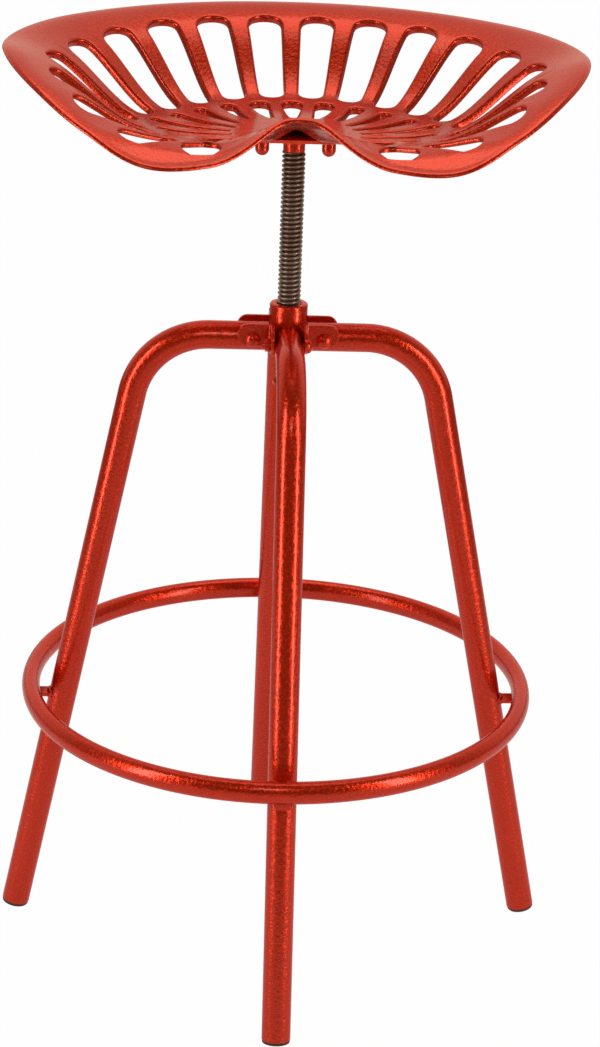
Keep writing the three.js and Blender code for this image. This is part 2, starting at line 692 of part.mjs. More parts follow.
function slotStations(from, to, widthFrom, widthTo) {
  const start = slotEndShares.map(([back, share]) => [from + back * widthFrom, (share * widthFrom) / 2]);
  const finish = slotEndShares.map(([back, share]) => [to - back * widthTo, (share * widthTo) / 2]).reverse();
  const middle = slotMiddleShares.map((share) => [
    THREE.MathUtils.lerp(start.at(-1)[0], finish[0][0], share),
    THREE.MathUtils.lerp(start.at(-1)[1], finish[0][1], share),
  ]);
  return [...start, ...middle, ...finish];
}

function outerSlot(angle) {
  const { radii } = knotsAt(angle);
  const [from, to] = [radii[2], radii[3]];
  const [widthFrom, widthTo] = [slotInnerWidthShares, slotOuterWidthShares].map((s) => around(s, angle));
  return slotCutter(angle, slotStations(from, to, from * widthFrom, to * widthTo));
}

function innerSlot(angle) {
  const to = knotsAt(angle).radii[2] * around(wedgeEndShares, angle);
  const from = to * around(wedgeTipShares, angle);
  const width = to * around(wedgeWidthShares, angle);
  return slotCutter(angle, slotStations(from, to, to * wedgeTipWidthShare, width));
}

function seatPanGeometry() {
  const pitch = THREE.MathUtils.degToRad(slotPitchDeg);
  const cutters = [];
  for (let i = -innerSlotsPerSide; i <= innerSlotsPerSide; i++) cutters.push(innerSlot(i * pitch));
  for (let i = -outerSlotsPerSide; i < outerSlotsPerSide; i++) cutters.push(outerSlot((i + 1 / 2) * pitch));
  const holeTop = plateTop + 2 * fitGap + studDepth;
  const hole = cylinder(studDiameter / 2 + fitGap, plateTop - cutOverrun, holeTop, boltSides);
  const at = studSpacing / 2;
  for (let i = 0; i < cornerNames.length; i++) {
    cutters.push(hole.clone().translate(at, at, 0).rotateZ(i * quarterTurn));
  }
  return cut(loft(seatRings()), cutters);
}

// Assembly
const stool = new THREE.Group();

const legShape = legGeometry();
const plugShape = plugGeometry();
const tabShape = ringTabGeometry();
const bracketShape = bracketGeometry();
const legBoltLength = 2 * bracketOutside + 2 * fitGap + legNutHeight + boltEnd;
const legBoltShape = domeBolt(legHeadDiameter, legHeadHeight, legBoltDiameter, legBoltLength);
const legNutShape = hexNutGeometry();
legNames.forEach((place, i) => {
  const leg = new THREE.Group();
  leg.rotation.z = i * quarterTurn;
  leg.add(part(`leg_${place}`, legShape, paint));
  leg.add(part(`foot_plug_${place}`, plugShape, rubber));
  leg.add(part(`ring_tab_${place}`, tabShape, paint));
  // all heads face the front or the left
  const side = place === "left" || place === "front" ? 1 : -1;
  const fastening = new THREE.Group();
  fastening.position.set(legBoltRadius, 0, legBoltHeight);
  fastening.rotation.x = side * quarterTurn;
  const bolt = part(`leg_bolt_${place}`, legBoltShape, paint);
  bolt.position.z = -bracketOutside;
  const nut = part(`leg_nut_${place}`, legNutShape, paint);
  nut.position.z = bracketOutside + fitGap;
  fastening.add(bolt, nut);
  leg.add(fastening);
  stool.add(leg);
});
cornerNames.forEach((place, i) => {
  const bracket = part(`hub_bracket_${place}`, bracketShape, paint);
  bracket.position.z = bracketMiddle;
  bracket.rotation.z = i * quarterTurn;
  stool.add(bracket);
});
stool.add(part("foot_ring", footRingGeometry(), paint));
stool.add(part("hub_nut", hubNutGeometry(), paint));
stool.add(part("spindle", spindleGeometry(), steel));

const washer = part("stop_washer", stopWasherGeometry(), paint);
washer.position.z = spindleBottom - 2 * fitGap - stopWasherThickness;
const stopScrew = part("stop_screw", stopScrewGeometry(), steel);
stopScrew.position.z = spindleBottom;
const seatPlate = part("seat_plate", seatPlateGeometry(), paint);
seatPlate.position.z = plateTop - plateThickness;
stool.add(washer, stopScrew, seatPlate, part("seat_pan", seatPanGeometry(), paint));

const studTop = plateTop + fitGap + studDepth;
const studBottom = plateTop - plateThickness + fitGap - capNutBore;
const studShape = cylinder(studDiameter / 2, studBottom, studTop, boltSides);
const capNutShape = capNutGeometry();
cornerNames.forEach((place, i) => {
  const corner = new THREE.Group();
  corner.rotation.z = i * quarterTurn;
  const stud = part(`seat_stud_${place}`, studShape, steel);
  stud.position.set(studSpacing / 2, studSpacing / 2, 0);
  const nut = part(`cap_nut_${place}`, capNutShape, paint);
  nut.position.set(studSpacing / 2, studSpacing / 2, plateTop - plateThickness - fitGap);
  corner.add(stud, nut);
  stool.add(corner);
});

export default stool;
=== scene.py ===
# Looks of the tractor seat stool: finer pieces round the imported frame, their finishes, light and camera.
# Pieces are drawn in millimetres, +Z up, front towards -Y, and finish_piece() brings them into metres.
import math

import bmesh
import bpy
import numpy as np
from mathutils import Matrix, Vector


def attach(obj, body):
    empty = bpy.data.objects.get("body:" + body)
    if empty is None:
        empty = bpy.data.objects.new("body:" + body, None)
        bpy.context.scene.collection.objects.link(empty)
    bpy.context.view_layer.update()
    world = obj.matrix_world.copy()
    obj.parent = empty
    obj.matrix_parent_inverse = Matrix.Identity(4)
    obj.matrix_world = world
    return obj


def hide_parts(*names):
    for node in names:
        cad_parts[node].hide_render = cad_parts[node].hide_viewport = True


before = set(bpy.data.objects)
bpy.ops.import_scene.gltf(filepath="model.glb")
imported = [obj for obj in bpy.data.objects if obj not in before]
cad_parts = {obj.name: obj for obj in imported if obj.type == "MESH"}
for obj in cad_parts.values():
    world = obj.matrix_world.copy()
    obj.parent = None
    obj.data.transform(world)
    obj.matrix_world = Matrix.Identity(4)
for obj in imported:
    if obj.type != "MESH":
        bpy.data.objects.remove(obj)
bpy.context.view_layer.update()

MM = 0.001
QUARTER = math.pi / 2
LEGS = ["right", "back", "left", "front"]  # a quarter turn apart, from +X
CORNERS = ["back_right", "back_left", "front_left", "front_right"]

# ---------------------------------------------------------------- camera
AZIMUTH, ELEVATION, ROLL = math.radians(-2.889), math.radians(21.082), math.radians(2.096)
CAMERA_AT = (-0.09144, -2.14167, 1.21528)
LENS, SENSOR = 88.11, 36  # millimetres


def make_camera():
    back = Vector((
        math.sin(AZIMUTH) * math.cos(ELEVATION),
        -math.cos(AZIMUTH) * math.cos(ELEVATION),
        math.sin(ELEVATION),
    ))
    right = Vector((math.cos(AZIMUTH), math.sin(AZIMUTH), 0))
    up = back.cross(right)
    across = right * math.cos(ROLL) + up * math.sin(ROLL)
    above = up * math.cos(ROLL) - right * math.sin(ROLL)
    data = bpy.data.cameras.new("camera")
    data.lens = LENS
    data.sensor_width = SENSOR
    data.clip_end = 50
    camera = bpy.data.objects.new("camera", data)
    camera.matrix_world = Matrix.Translation(CAMERA_AT) @ Matrix((across, above, back)).transposed().to_4x4()
    bpy.context.scene.collection.objects.link(camera)
    bpy.context.scene.camera = camera


# ---------------------------------------------------------------- finishes
def material(name):
    """A new material, its nodes and links, and its shader."""
    made = bpy.data.materials.new(name)
    made.use_nodes = True
    nodes = made.node_tree.nodes
    return made, nodes, made.node_tree.links, nodes["Principled BSDF"]


def add(nodes, kind, **values):
    """A new node, with each value set on it or on its socket of that name."""
    node = nodes.new(kind)
    for key, value in values.items():
        if hasattr(node, key):
            setattr(node, key, value)
        else:
            node.inputs[key.replace("_", " ")].default_value = value
    return node


def ramp(nodes, links, source, stops):
    """A colour ramp fed by source, with (place, colour) stops."""
    node = nodes.new("ShaderNodeValToRGB")
    elements = node.color_ramp.elements
    while len(elements) < len(stops):
        elements.new(0.5)
    for element, (place, colour) in zip(elements, stops):
        element.position = place
        element.color = (*colour, 1)
    links.new(source, node.inputs["Fac"])
    return node


def spread(nodes, links, source, low, high, out_low, out_high):
    """source's range from low to high, spread over another range."""
    node = add(nodes, "ShaderNodeMapRange")
    for key, value in zip(("From Min", "From Max", "To Min", "To Max"), (low, high, out_low, out_high)):
        node.inputs[key].default_value = value
    links.new(source, node.inputs["Value"])
    return node.outputs["Result"]


def mixed(nodes, links, mode, share, first, second):
    """Two colours mixed; share and second may be a value or a socket."""
    node = nodes.new("ShaderNodeMix")
    node.data_type = "RGBA"
    node.blend_type = mode
    for socket, value in ((node.inputs[0], share), (node.inputs[6], first), (node.inputs[7], second)):
        if isinstance(value, bpy.types.NodeSocket):
            links.new(value, socket)
        else:
            socket.default_value = value
    return node.outputs[2]


def hammered_paint(name, base, metal, coat, dimple, depth, speckle, roughness):
    """Red enamel over metal flake that has drawn up into small cells while it dried.

    dimple is how many cells there are to a metre, depth how strongly they stand out, and speckle how
    much of the flake's colours shows; they follow the grain that also dents the surface, so they are
    painted shade in the dents and painted light on the bumps as well.
    """
    made, nodes, links, shader = material(name)
    place = nodes.new("ShaderNodeTexCoord").outputs["Object"]
    wander = add(nodes, "ShaderNodeTexNoise", Scale=dimple * 0.6, Detail=2.0)
    links.new(place, wander.inputs["Vector"])
    shifted = nodes.new("ShaderNodeMix")
    shifted.data_type = "VECTOR"
    shifted.inputs[0].default_value = CELL_WANDER
    links.new(place, shifted.inputs[4])
    links.new(wander.outputs["Color"], shifted.inputs[5])
    cells = add(nodes, "ShaderNodeTexVoronoi", feature="SMOOTH_F1", Scale=dimple, Smoothness=0.6)
    links.new(shifted.outputs[1], cells.inputs["Vector"])
    grain = add(nodes, "ShaderNodeTexNoise", Scale=dimple * 1.7, Detail=3.0, Roughness=0.6)
    links.new(place, grain.inputs["Vector"])
    cloud = add(nodes, "ShaderNodeTexNoise", Scale=14.0, Detail=3.0)
    links.new(place, cloud.inputs["Vector"])
    # colour: flake specks on the grain that also dents the surface, so painted shade in the dents and painted
    # light on the bumps; a slow drift over the whole piece
    tone = ramp(nodes, links, grain.outputs["Fac"], [
        (0.30, PAINT_DARK_SPECK_DENT_SHADE), (0.52, PAINT_MIDDLE), (0.74, PAINT_LIGHT_SPECK_BUMP_LIGHT),
    ])
    drift = spread(nodes, links, cloud.outputs["Fac"], 0.3, 0.7, 0.0, 0.22)
    deep = mixed(nodes, links, "MIX", speckle, (*base, 1), tone.outputs["Color"])
    colour = mixed(nodes, links, "MULTIPLY", drift, deep, (*PAINT_DRIFT, 1))
    links.new(colour, shader.inputs["Base Color"])
    links.new(spread(nodes, links, grain.outputs["Fac"], 0.3, 0.75, roughness - 0.05, roughness + 0.09),
              shader.inputs["Roughness"])
    height = nodes.new("ShaderNodeMath")
    height.operation = "MULTIPLY_ADD"
    links.new(cells.outputs["Distance"], height.inputs[0])
    height.inputs[1].default_value = 0.8
    links.new(grain.outputs["Fac"], height.inputs[2])
    bump = add(nodes, "ShaderNodeBump", Strength=depth, Distance=CELL_HEIGHT)
    links.new(height.outputs["Value"], bump.inputs["Height"])
    links.new(bump.outputs["Normal"], shader.inputs["Normal"])
    shader.inputs["Metallic"].default_value = metal
    shader.inputs["Specular IOR Level"].default_value = 0.3
    shader.inputs["Specular Tint"].default_value = (*PAINT_GLINT, 1)
    shader.inputs["Coat Weight"].default_value = coat
    shader.inputs["Coat Roughness"].default_value = 0.14
    return made


def screw_steel():
    """Dark turned steel with an oil film in blotches, with painted shade in the thread's roots and painted
    light on its crests.
    """
    made, nodes, links, shader = material("oiled_steel")
    place = nodes.new("ShaderNodeTexCoord").outputs["Object"]
    parts = nodes.new("ShaderNodeSeparateXYZ")
    links.new(place, parts.inputs["Vector"])
    flat = nodes.new("ShaderNodeCombineXYZ")
    links.new(parts.outputs["X"], flat.inputs["X"])
    links.new(parts.outputs["Y"], flat.inputs["Y"])
    radius = add(nodes, "ShaderNodeVectorMath", operation="LENGTH")
    links.new(flat.outputs["Vector"], radius.inputs[0])
    crest = spread(nodes, links, radius.outputs["Value"], *THREAD_SPAN, 0.0, 1.0)
    stretch = add(nodes, "ShaderNodeMapping")
    stretch.inputs["Scale"].default_value = (1, 1, 7)  # tool marks run round the screw
    links.new(place, stretch.inputs["Vector"])
    marks = add(nodes, "ShaderNodeTexNoise", Scale=420.0, Detail=4.0, Roughness=0.65)
    links.new(stretch.outputs["Vector"], marks.inputs["Vector"])
    blotch = add(nodes, "ShaderNodeTexNoise", Scale=55.0, Detail=3.0)
    links.new(place, blotch.inputs["Vector"])
    # painted shade in the thread's roots and painted light on its crests
    tone = ramp(nodes, links, crest, [(0.0, STEEL_ROOT_SHADE), (0.55, STEEL_FLANK), (1.0, STEEL_CREST_LIT)])
    stain = spread(nodes, links, blotch.outputs["Fac"], 0.35, 0.7, 0.0, 0.55)
    colour = mixed(nodes, links, "MULTIPLY", stain, tone.outputs["Color"], (*STEEL_STAIN, 1))
    links.new(colour, shader.inputs["Base Color"])
    links.new(spread(nodes, links, marks.outputs["Fac"], 0.3, 0.7, 0.30, 0.48),
              shader.inputs["Roughness"])
    bump = add(nodes, "ShaderNodeBump", Strength=0.25, Distance=0.0003)
    links.new(marks.outputs["Fac"], bump.inputs["Height"])
    links.new(bump.outputs["Normal"], shader.inputs["Normal"])
    shader.inputs["Metallic"].default_value = 0.85
    return made


def plug_plastic():
    """Moulded dark plastic with a fine matt grain and random scuffs."""
    made, nodes, links, shader = material("moulded_plug")
    place = nodes.new("ShaderNodeTexCoord").outputs["Object"]
    grain = add(nodes, "ShaderNodeTexNoise", Scale=900.0, Detail=3.0)
    links.new(place, grain.inputs["Vector"])
    scuff = add(nodes, "ShaderNodeTexNoise", Scale=160.0, Detail=4.0, Roughness=0.7)
    links.new(place, scuff.inputs["Vector"])
    tone = ramp(nodes, links, scuff.outputs["Fac"], [(0.35, PLUG_DARK), (0.7, PLUG_WORN)])
    links.new(tone.outputs["Color"], shader.inputs["Base Color"])
    links.new(spread(nodes, links, scuff.outputs["Fac"], 0.3, 0.7, 0.48, 0.68),
              shader.inputs["Roughness"])
    bump = add(nodes, "ShaderNodeBump", Strength=0.35, Distance=0.0002)
    links.new(grain.outputs["Fac"], bump.inputs["Height"])
    links.new(bump.outputs["Normal"], shader.inputs["Normal"])
    return made


FRAME_RED = (0.600, 0.029, 0.006)
# the frame's red retinted with painted light: a paler haze of light over the seat
SEAT_RED_PAINTED_HAZE = (0.520, 0.034, 0.010)
# a lightened copy of the frame's red: painted light for the plate in the seat's hollow
PLATE_RED_PAINTED_LIGHT = (0.850, 0.080, 0.035)
# speck colours on the grain that also dents the paint: flake specks, with painted shade in the dents and
# painted light on the bumps
PAINT_DARK_SPECK_DENT_SHADE = (0.260, 0.005, 0.001)
PAINT_MIDDLE = (0.560, 0.026, 0.006)
PAINT_LIGHT_SPECK_BUMP_LIGHT = (0.780, 0.070, 0.025)
PAINT_DRIFT = (0.76, 0.62, 0.58)  # what the paint is darkened by where it lies thick
PAINT_GLINT = (1, 0.42, 0.32)
CELL_WANDER, CELL_HEIGHT = 0.0016, 0.0011
# thread colours from root to crest: painted shade in the roots, painted light on the crests
STEEL_ROOT_SHADE = (0.110, 0.074, 0.058)
STEEL_FLANK = (0.200, 0.145, 0.116)
STEEL_CREST_LIT = (0.270, 0.205, 0.168)
STEEL_STAIN = (0.62, 0.50, 0.42)
THREAD_SPAN = (0.0079, 0.0100)  # from the thread's root to its crest, in metres
PLUG_DARK = (0.030, 0.008, 0.006)
PLUG_WORN = (0.060, 0.018, 0.014)

frame_paint = hammered_paint(
    "frame_paint", FRAME_RED, metal=0.7, coat=0.4, dimple=300.0, depth=0.30, speckle=0.22, roughness=0.24,
)
# the seat's base red carries painted light, a haze over the same paint as the frame
seat_paint = hammered_paint(
    "seat_paint", SEAT_RED_PAINTED_HAZE, metal=0.7, coat=0.4, dimple=300.0, depth=0.27, speckle=0.28, roughness=0.28,
)
weld_paint = hammered_paint(
    "weld_paint", FRAME_RED, metal=0.7, coat=0.4, dimple=560.0, depth=0.60, speckle=0.60, roughness=0.24,
)
# the plate lies in the seat's hollow, where flake would look black; its red is lightened as painted light
# against the hollow's shade
plate_paint = hammered_paint(
    "plate_paint", PLATE_RED_PAINTED_LIGHT, metal=0.0, coat=0.2, dimple=300.0, depth=0.30, speckle=0.10, roughness=0.40,
)
steel = screw_steel()
plastic = plug_plastic()


# ---------------------------------------------------------------- piece tools
def finish_piece(name, bm, finish, body, stands_for=(), sharp=40, edge=0, turn=None):
    """Makes bm a piece in metres, after turn.

    Edges over sharp degrees stay sharp to the eye, and edge is their rounding in millimetres.
    """
    bmesh.ops.remove_doubles(bm, verts=bm.verts[:], dist=0.004)
    bmesh.ops.recalc_face_normals(bm, faces=bm.faces[:])
    if turn is not None:
        bmesh.ops.transform(bm, matrix=turn, verts=bm.verts[:])
    bmesh.ops.scale(bm, vec=(MM, MM, MM), verts=bm.verts[:])
    mesh = bpy.data.meshes.new(name)
    bm.to_mesh(mesh)
    bm.free()
    for polygon in mesh.polygons:
        polygon.use_smooth = True
    mesh.set_sharp_from_angle(angle=math.radians(sharp))
    mesh.materials.append(finish)
    piece = bpy.data.objects.new(name, mesh)
    bpy.context.scene.collection.objects.link(piece)
    if edge:
        rounding = piece.modifiers.new("edge", "BEVEL")
        rounding.width = edge * MM
        rounding.segments = 3
        rounding.limit_method = "ANGLE"
        rounding.angle_limit = math.radians(sharp)
        rounding.harden_normals = True
    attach(piece, body)
    if stands_for:
        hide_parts(*stands_for)
    return piece


def quarter_turn(i):
    """Turns from +X to leg i, or from the corner past +X to corner i."""
    return Matrix.Rotation(i * QUARTER, 4, "Z")


def line_of(bm, points):
    """An open chain of edges through points."""
    verts = [bm.verts.new(point) for point in points]
    return verts, [bm.edges.new(pair) for pair in zip(verts, verts[1:])]


def turned(profile, steps):
    """A solid turned about Z, from (radius, z) pairs that start and end on the axis or meet."""
    bm = bmesh.new()
    verts, edges = line_of(bm, [(r, 0, z) for r, z in profile])
    bmesh.ops.spin(
        bm, geom=verts + edges, cent=(0, 0, 0), axis=(0, 0, 1), angle=2 * math.pi, steps=steps,
        use_merge=True,
    )
    bmesh.ops.remove_doubles(bm, verts=bm.verts[:], dist=0.002)
    return bm


def arc(middle_r, middle_z, radius, start, end, steps):
    """(radius, z) pairs on an arc, its angles in degrees from outwards to up."""
    angles = [math.radians(start + (end - start) * i / steps) for i in range(steps + 1)]
    return [(middle_r + radius * math.cos(a), middle_z + radius * math.sin(a)) for a in angles]


def extend(bm, edges, by):
    """Pulls an open edge loop along by, and returns the loop at its new end."""
    made = bmesh.ops.extrude_edge_only(bm, edges=edges)["geom"]
    verts = [v for v in made if isinstance(v, bmesh.types.BMVert)]
    bmesh.ops.translate(bm, vec=by, verts=verts)
    return [e for e in made if isinstance(e, bmesh.types.BMEdge) and all(v in verts for v in e.verts)]


def bend(bm, edges, middle, axis, angle, steps):
    """Carries an open edge loop round a bend, and returns the loop at its end."""
    verts = list({v for e in edges for v in e.verts})
    last = bmesh.ops.spin(
        bm, geom=verts + edges, cent=middle, axis=axis, angle=angle, steps=steps, use_merge=False,
    )["geom_last"]
    return [g for g in last if isinstance(g, bmesh.types.BMEdge)]


def upright_edges(bm):
    """The edges along Z of a block."""
    return [e for e in bm.edges if abs(e.verts[0].co.z - e.verts[1].co.z) > 1]


def smooth_lump(bm, rounds, **axes):
    """Softens a finely divided block into a lump of weld, along the axes that are left free."""
    for _ in range(rounds):
        bmesh.ops.smooth_vert(bm, verts=bm.verts[:], factor=0.5, **axes)


def hollow_end(bm, edges, wall, inwards):
    """Closes a tube's end with a rim as wide as its wall, round a recess that runs inwards."""
    face = bmesh.ops.contextual_create(bm, geom=edges)["faces"][0]
    bmesh.ops.inset_region(bm, faces=[face], thickness=wall, use_even_offset=True)
    pushed = bmesh.ops.extrude_discrete_faces(bm, faces=[face])["faces"]
    bmesh.ops.translate(bm, vec=inwards, verts=list({v for f in pushed for v in f.verts}))


# ---------------------------------------------------------------- legs
LEG_RADIUS, LEG_WALL, LEG_SIDES = 12.5, 1.5, 56
LEG_AXIS_HEIGHT, LEG_FLOOR_RADIUS, LEG_LEAN = 563.5, 240.4, math.radians(11.7)
LEG_BEND_RADIUS, LEG_BEND_STEPS, LEG_START, LEG_END_HEIGHT = 68, 28, 16.8, 4
FOOT_RECESS, HUB_RECESS = 16, 4  # how deep a leg's two ends are drawn hollow
PLUG_FLANGE, PLUG_RADIUS, PLUG_STEM, PLUG_DEPTH, PLUG_ROUND, PLUG_GAP = 2.7, 12.1, 10.2, 14, 0.7, 0.05


def leg_axis_radius(height):
    """How far a leg's middle line is from the stool's, at a height under the bend."""
    return LEG_FLOOR_RADIUS - height * math.tan(LEG_LEAN)


def leg_mesh():
    """A tube from the hub out to a bend and down to the floor, with open ends."""
    turn = QUARTER - LEG_LEAN
    bend_x = leg_axis_radius(LEG_AXIS_HEIGHT) - LEG_BEND_RADIUS * math.tan(turn / 2)
    middle = Vector((bend_x, 0, LEG_AXIS_HEIGHT - LEG_BEND_RADIUS))
    bend_end = middle + Vector((math.sin(turn), 0, math.cos(turn))) * LEG_BEND_RADIUS
    foot = Vector((leg_axis_radius(LEG_END_HEIGHT), 0, LEG_END_HEIGHT))
    bm = bmesh.new()
    stand = Matrix.Translation((LEG_START, 0, LEG_AXIS_HEIGHT)) @ Matrix.Rotation(QUARTER, 4, "Y")
    bmesh.ops.create_circle(bm, segments=LEG_SIDES, radius=LEG_RADIUS, matrix=stand)
    first = bm.edges[:]
    edges = extend(bm, first, Vector((bend_x - LEG_START, 0, 0)))
    edges = bend(bm, edges, middle, (0, 1, 0), turn, LEG_BEND_STEPS)
    edges = extend(bm, edges, foot - bend_end)
    hollow_end(bm, edges, LEG_WALL, (bend_end - foot).normalized() * FOOT_RECESS)
    hollow_end(bm, first, LEG_WALL, Vector((HUB_RECESS, 0, 0)))
    return bm


def plug_mesh():
    """The end plug: a rounded flange under the tube's end, cut level with the floor."""
    profile = [
        (0, -PLUG_FLANGE), *arc(PLUG_RADIUS - PLUG_ROUND, PLUG_ROUND - PLUG_FLANGE, PLUG_ROUND, -90, 0, 4),
        (PLUG_RADIUS, PLUG_GAP), (PLUG_STEM, PLUG_GAP), (PLUG_STEM, PLUG_DEPTH), (0, PLUG_DEPTH),
    ]
    bm = turned(profile, LEG_SIDES)
    place = Matrix.Translation((leg_axis_radius(LEG_END_HEIGHT), 0, LEG_END_HEIGHT))
    bmesh.ops.transform(bm, matrix=place @ Matrix.Rotation(-LEG_LEAN, 4, "Y"), verts=bm.verts[:])
    bmesh.ops.recalc_face_normals(bm, faces=bm.faces[:])
    cut = bmesh.ops.bisect_plane(
        bm, geom=bm.verts[:] + bm.edges[:] + bm.faces[:], plane_co=(0, 0, 0), plane_no=(0, 0, -1),
        clear_outer=True,
    )["geom_cut"]
    bmesh.ops.contextual_create(bm, geom=[g for g in cut if isinstance(g, bmesh.types.BMEdge)])
    return bm


# ---------------------------------------------------------------- foot ring, its tabs and welds
RING_RADIUS, RING_HEIGHT, RING_HALF_WIDTH, RING_HALF_DEPTH = 224, 233, 8, 10
RING_SIDES, RING_STEPS = 40, 168
TAB_WIDTH, TAB_THICKNESS, TAB_CORNER, TAB_TOP, TAB_END = 16, 3.3, 3, 220.9, 226
TAB_SUNK = 4.2  # how far inside the leg's widest line the tab starts
WELD_GAP = 0.3  # between pieces that a bead joins
BEAD, BEAD_OVERHANG, BEAD_RIPPLE, BEAD_PITCH = 2.4, 0.6, 0.2, 1.9
PAD_HALF_LENGTH, PAD_HALF_WIDTH, PAD_INSET, PAD_SUNK_BELOW, PAD_SUNK_ABOVE = 4, 6.6, 2, 0.8, 1.1
PAD_RIPPLE, PAD_PITCH = 0.14, 1.8


def ring_mesh():
    """The foot ring: an oval section carried round the stool's middle line."""
    bm = bmesh.new()
    bmesh.ops.create_circle(bm, segments=RING_SIDES, radius=1)
    bmesh.ops.scale(bm, vec=(RING_HALF_WIDTH, RING_HALF_DEPTH, 1), verts=bm.verts[:])
    stand = Matrix.Translation((RING_RADIUS, 0, RING_HEIGHT)) @ Matrix.Rotation(QUARTER, 4, "X")
    bmesh.ops.transform(bm, matrix=stand, verts=bm.verts[:])
    bmesh.ops.spin(
        bm, geom=bm.verts[:] + bm.edges[:], cent=(0, 0, 0), axis=(0, 0, 1), angle=2 * math.pi,
        steps=RING_STEPS, use_merge=True,
    )
    return bm


def tab_mesh():
    """A flat tab from the leg's wall out under the ring, its outer corners rounded."""
    inner = leg_axis_radius(TAB_TOP) + LEG_RADIUS - TAB_SUNK
    length = TAB_END - inner
    bm = bmesh.new()
    place = Matrix.Translation((inner + length / 2, 0, TAB_TOP - TAB_THICKNESS / 2))
    size = Matrix.Diagonal((length, TAB_WIDTH, TAB_THICKNESS, 1))
    bmesh.ops.create_cube(bm, size=1, matrix=place @ size)
    outer = [e for e in upright_edges(bm) if all(v.co.x > inner + length / 2 for v in e.verts)]
    bmesh.ops.bevel(
        bm, geom=outer, offset=TAB_CORNER, segments=6, profile=0.5, affect="EDGES", material=-1,
    )
    return bm


def ripple(bm, amount, pitch, along, seed):
    """Pushes a bead's surface in and out in even weld ripples, with a little wander."""
    draw = np.random.default_rng(seed)
    phase = draw.uniform(0, 2 * math.pi, 3)
    bm.normal_update()
    for vert in bm.verts:
        run = vert.co.dot(along)
        wave = math.sin(2 * math.pi * run / pitch + phase[0])
        wander = math.sin(run * 0.9 + vert.co.z * 0.7 + phase[1]) + math.sin(vert.co.y * 1.7 + phase[2])
        vert.co += vert.normal * (amount * (0.6 * wave + 0.25 * wander))


def leg_bead_mesh(side):
    """The bead where the tab meets the leg's wall, over the tab (side 1) or under it (side -1)."""
    height = TAB_TOP + (WELD_GAP if side > 0 else -TAB_THICKNESS - WELD_GAP)
    bm = bmesh.new()
    lying = Matrix.Rotation(QUARTER, 4, "X")
    bmesh.ops.create_uvsphere(bm, u_segments=20, v_segments=30, radius=1, matrix=lying)
    bmesh.ops.scale(bm, vec=(BEAD, TAB_WIDTH / 2 + BEAD_OVERHANG, BEAD), verts=bm.verts[:])
    ripple(bm, BEAD_RIPPLE, BEAD_PITCH, Vector((0.2, 1, 0)), 11 + side)
    # laid round the leg's wall
    for vert in bm.verts:
        angle = vert.co.y / LEG_RADIUS
        reach = LEG_RADIUS + WELD_GAP + vert.co.x
        vert.co.x = leg_axis_radius(height) + reach * math.cos(angle)
        vert.co.y = reach * math.sin(angle)
    bmesh.ops.translate(bm, vec=(0, 0, height), verts=bm.verts[:])
    return bm


def ring_weld_mesh():
    """The weld between the tab and the ring's underside, a low lumpy pad."""
    bm = bmesh.new()
    low, high = TAB_TOP - PAD_SUNK_BELOW, RING_HEIGHT - RING_HALF_DEPTH + PAD_SUNK_ABOVE
    place = Matrix.Translation((RING_RADIUS - PAD_INSET, 0, (low + high) / 2))
    size = Matrix.Diagonal((PAD_HALF_LENGTH, PAD_HALF_WIDTH, (high - low) / 2, 1))
    bmesh.ops.create_cube(bm, size=2, matrix=place @ size)
    bmesh.ops.subdivide_edges(bm, edges=bm.edges[:], cuts=7, use_grid_fill=True)
    smooth_lump(bm, 3, use_axis_x=True, use_axis_y=True, use_axis_z=False)
    ripple(bm, PAD_RIPPLE, PAD_PITCH, Vector((0, 1, 0)), 7)
    return bm


# ---------------------------------------------------------------- hub
HUB_RADIUS, HUB_BOTTOM, HUB_TOP, BORE_RADIUS = 16.5, 548, 594, 10.45
BRACKET_INSIDE, BRACKET_THICKNESS, BRACKET_BEND, BRACKET_REACH = 12.8, 3, 2, 44
BRACKET_HALF_HEIGHT, BRACKET_MIDDLE, BRACKET_CORNER = 9.75, 568.6, 9
BRACKET_OUTSIDE = BRACKET_INSIDE + BRACKET_THICKNESS
LEG_BOLT_RADIUS, LEG_BOLT_HEIGHT = 31, 564.3
COLLAR_FOOT_ROUND, COLLAR_TOP_ROUND, COLLAR_MOUTH = 1.6, 1.8, 1.2
GROOVES, GROOVE_PITCH, GROOVE_FROM_TOP, GROOVE_DEPTH = 10, 4.1, 2.4, 0.7
CORNER_WELD_SUNK, CORNER_WELD_REACH, CORNER_WELD_HALF, CORNER_WELD_SHORT = 1.5, 20.8, 2.6, 0.6
CORNER_RIPPLE, CORNER_PITCH = 0.15, 2.2


def collar_mesh():
    """The threaded collar: rounded ends, a countersunk mouth and a groove for each thread turn inside."""
    low, high = COLLAR_FOOT_ROUND, COLLAR_TOP_ROUND
    outside = [
        *arc(HUB_RADIUS - low, HUB_BOTTOM + low, low, -90, 0, 5),
        *arc(HUB_RADIUS - high, HUB_TOP - high, high, 0, 90, 6),
    ]
    mouth = [(BORE_RADIUS + COLLAR_MOUTH, HUB_TOP), (BORE_RADIUS, HUB_TOP - COLLAR_MOUTH)]
    bore = []
    for i in range(GROOVES):
        z = HUB_TOP - GROOVE_FROM_TOP - i * GROOVE_PITCH
        deep = BORE_RADIUS + GROOVE_DEPTH
        bore += [(BORE_RADIUS, z), (deep, z - 1), (deep, z - 2), (BORE_RADIUS, z - 3)]
    foot = [(BORE_RADIUS, HUB_BOTTOM + COLLAR_MOUTH), (BORE_RADIUS + COLLAR_MOUTH, HUB_BOTTOM)]
    ring = [*outside, *mouth, *bore, *foot]
    return turned([*ring, ring[0]], 72)


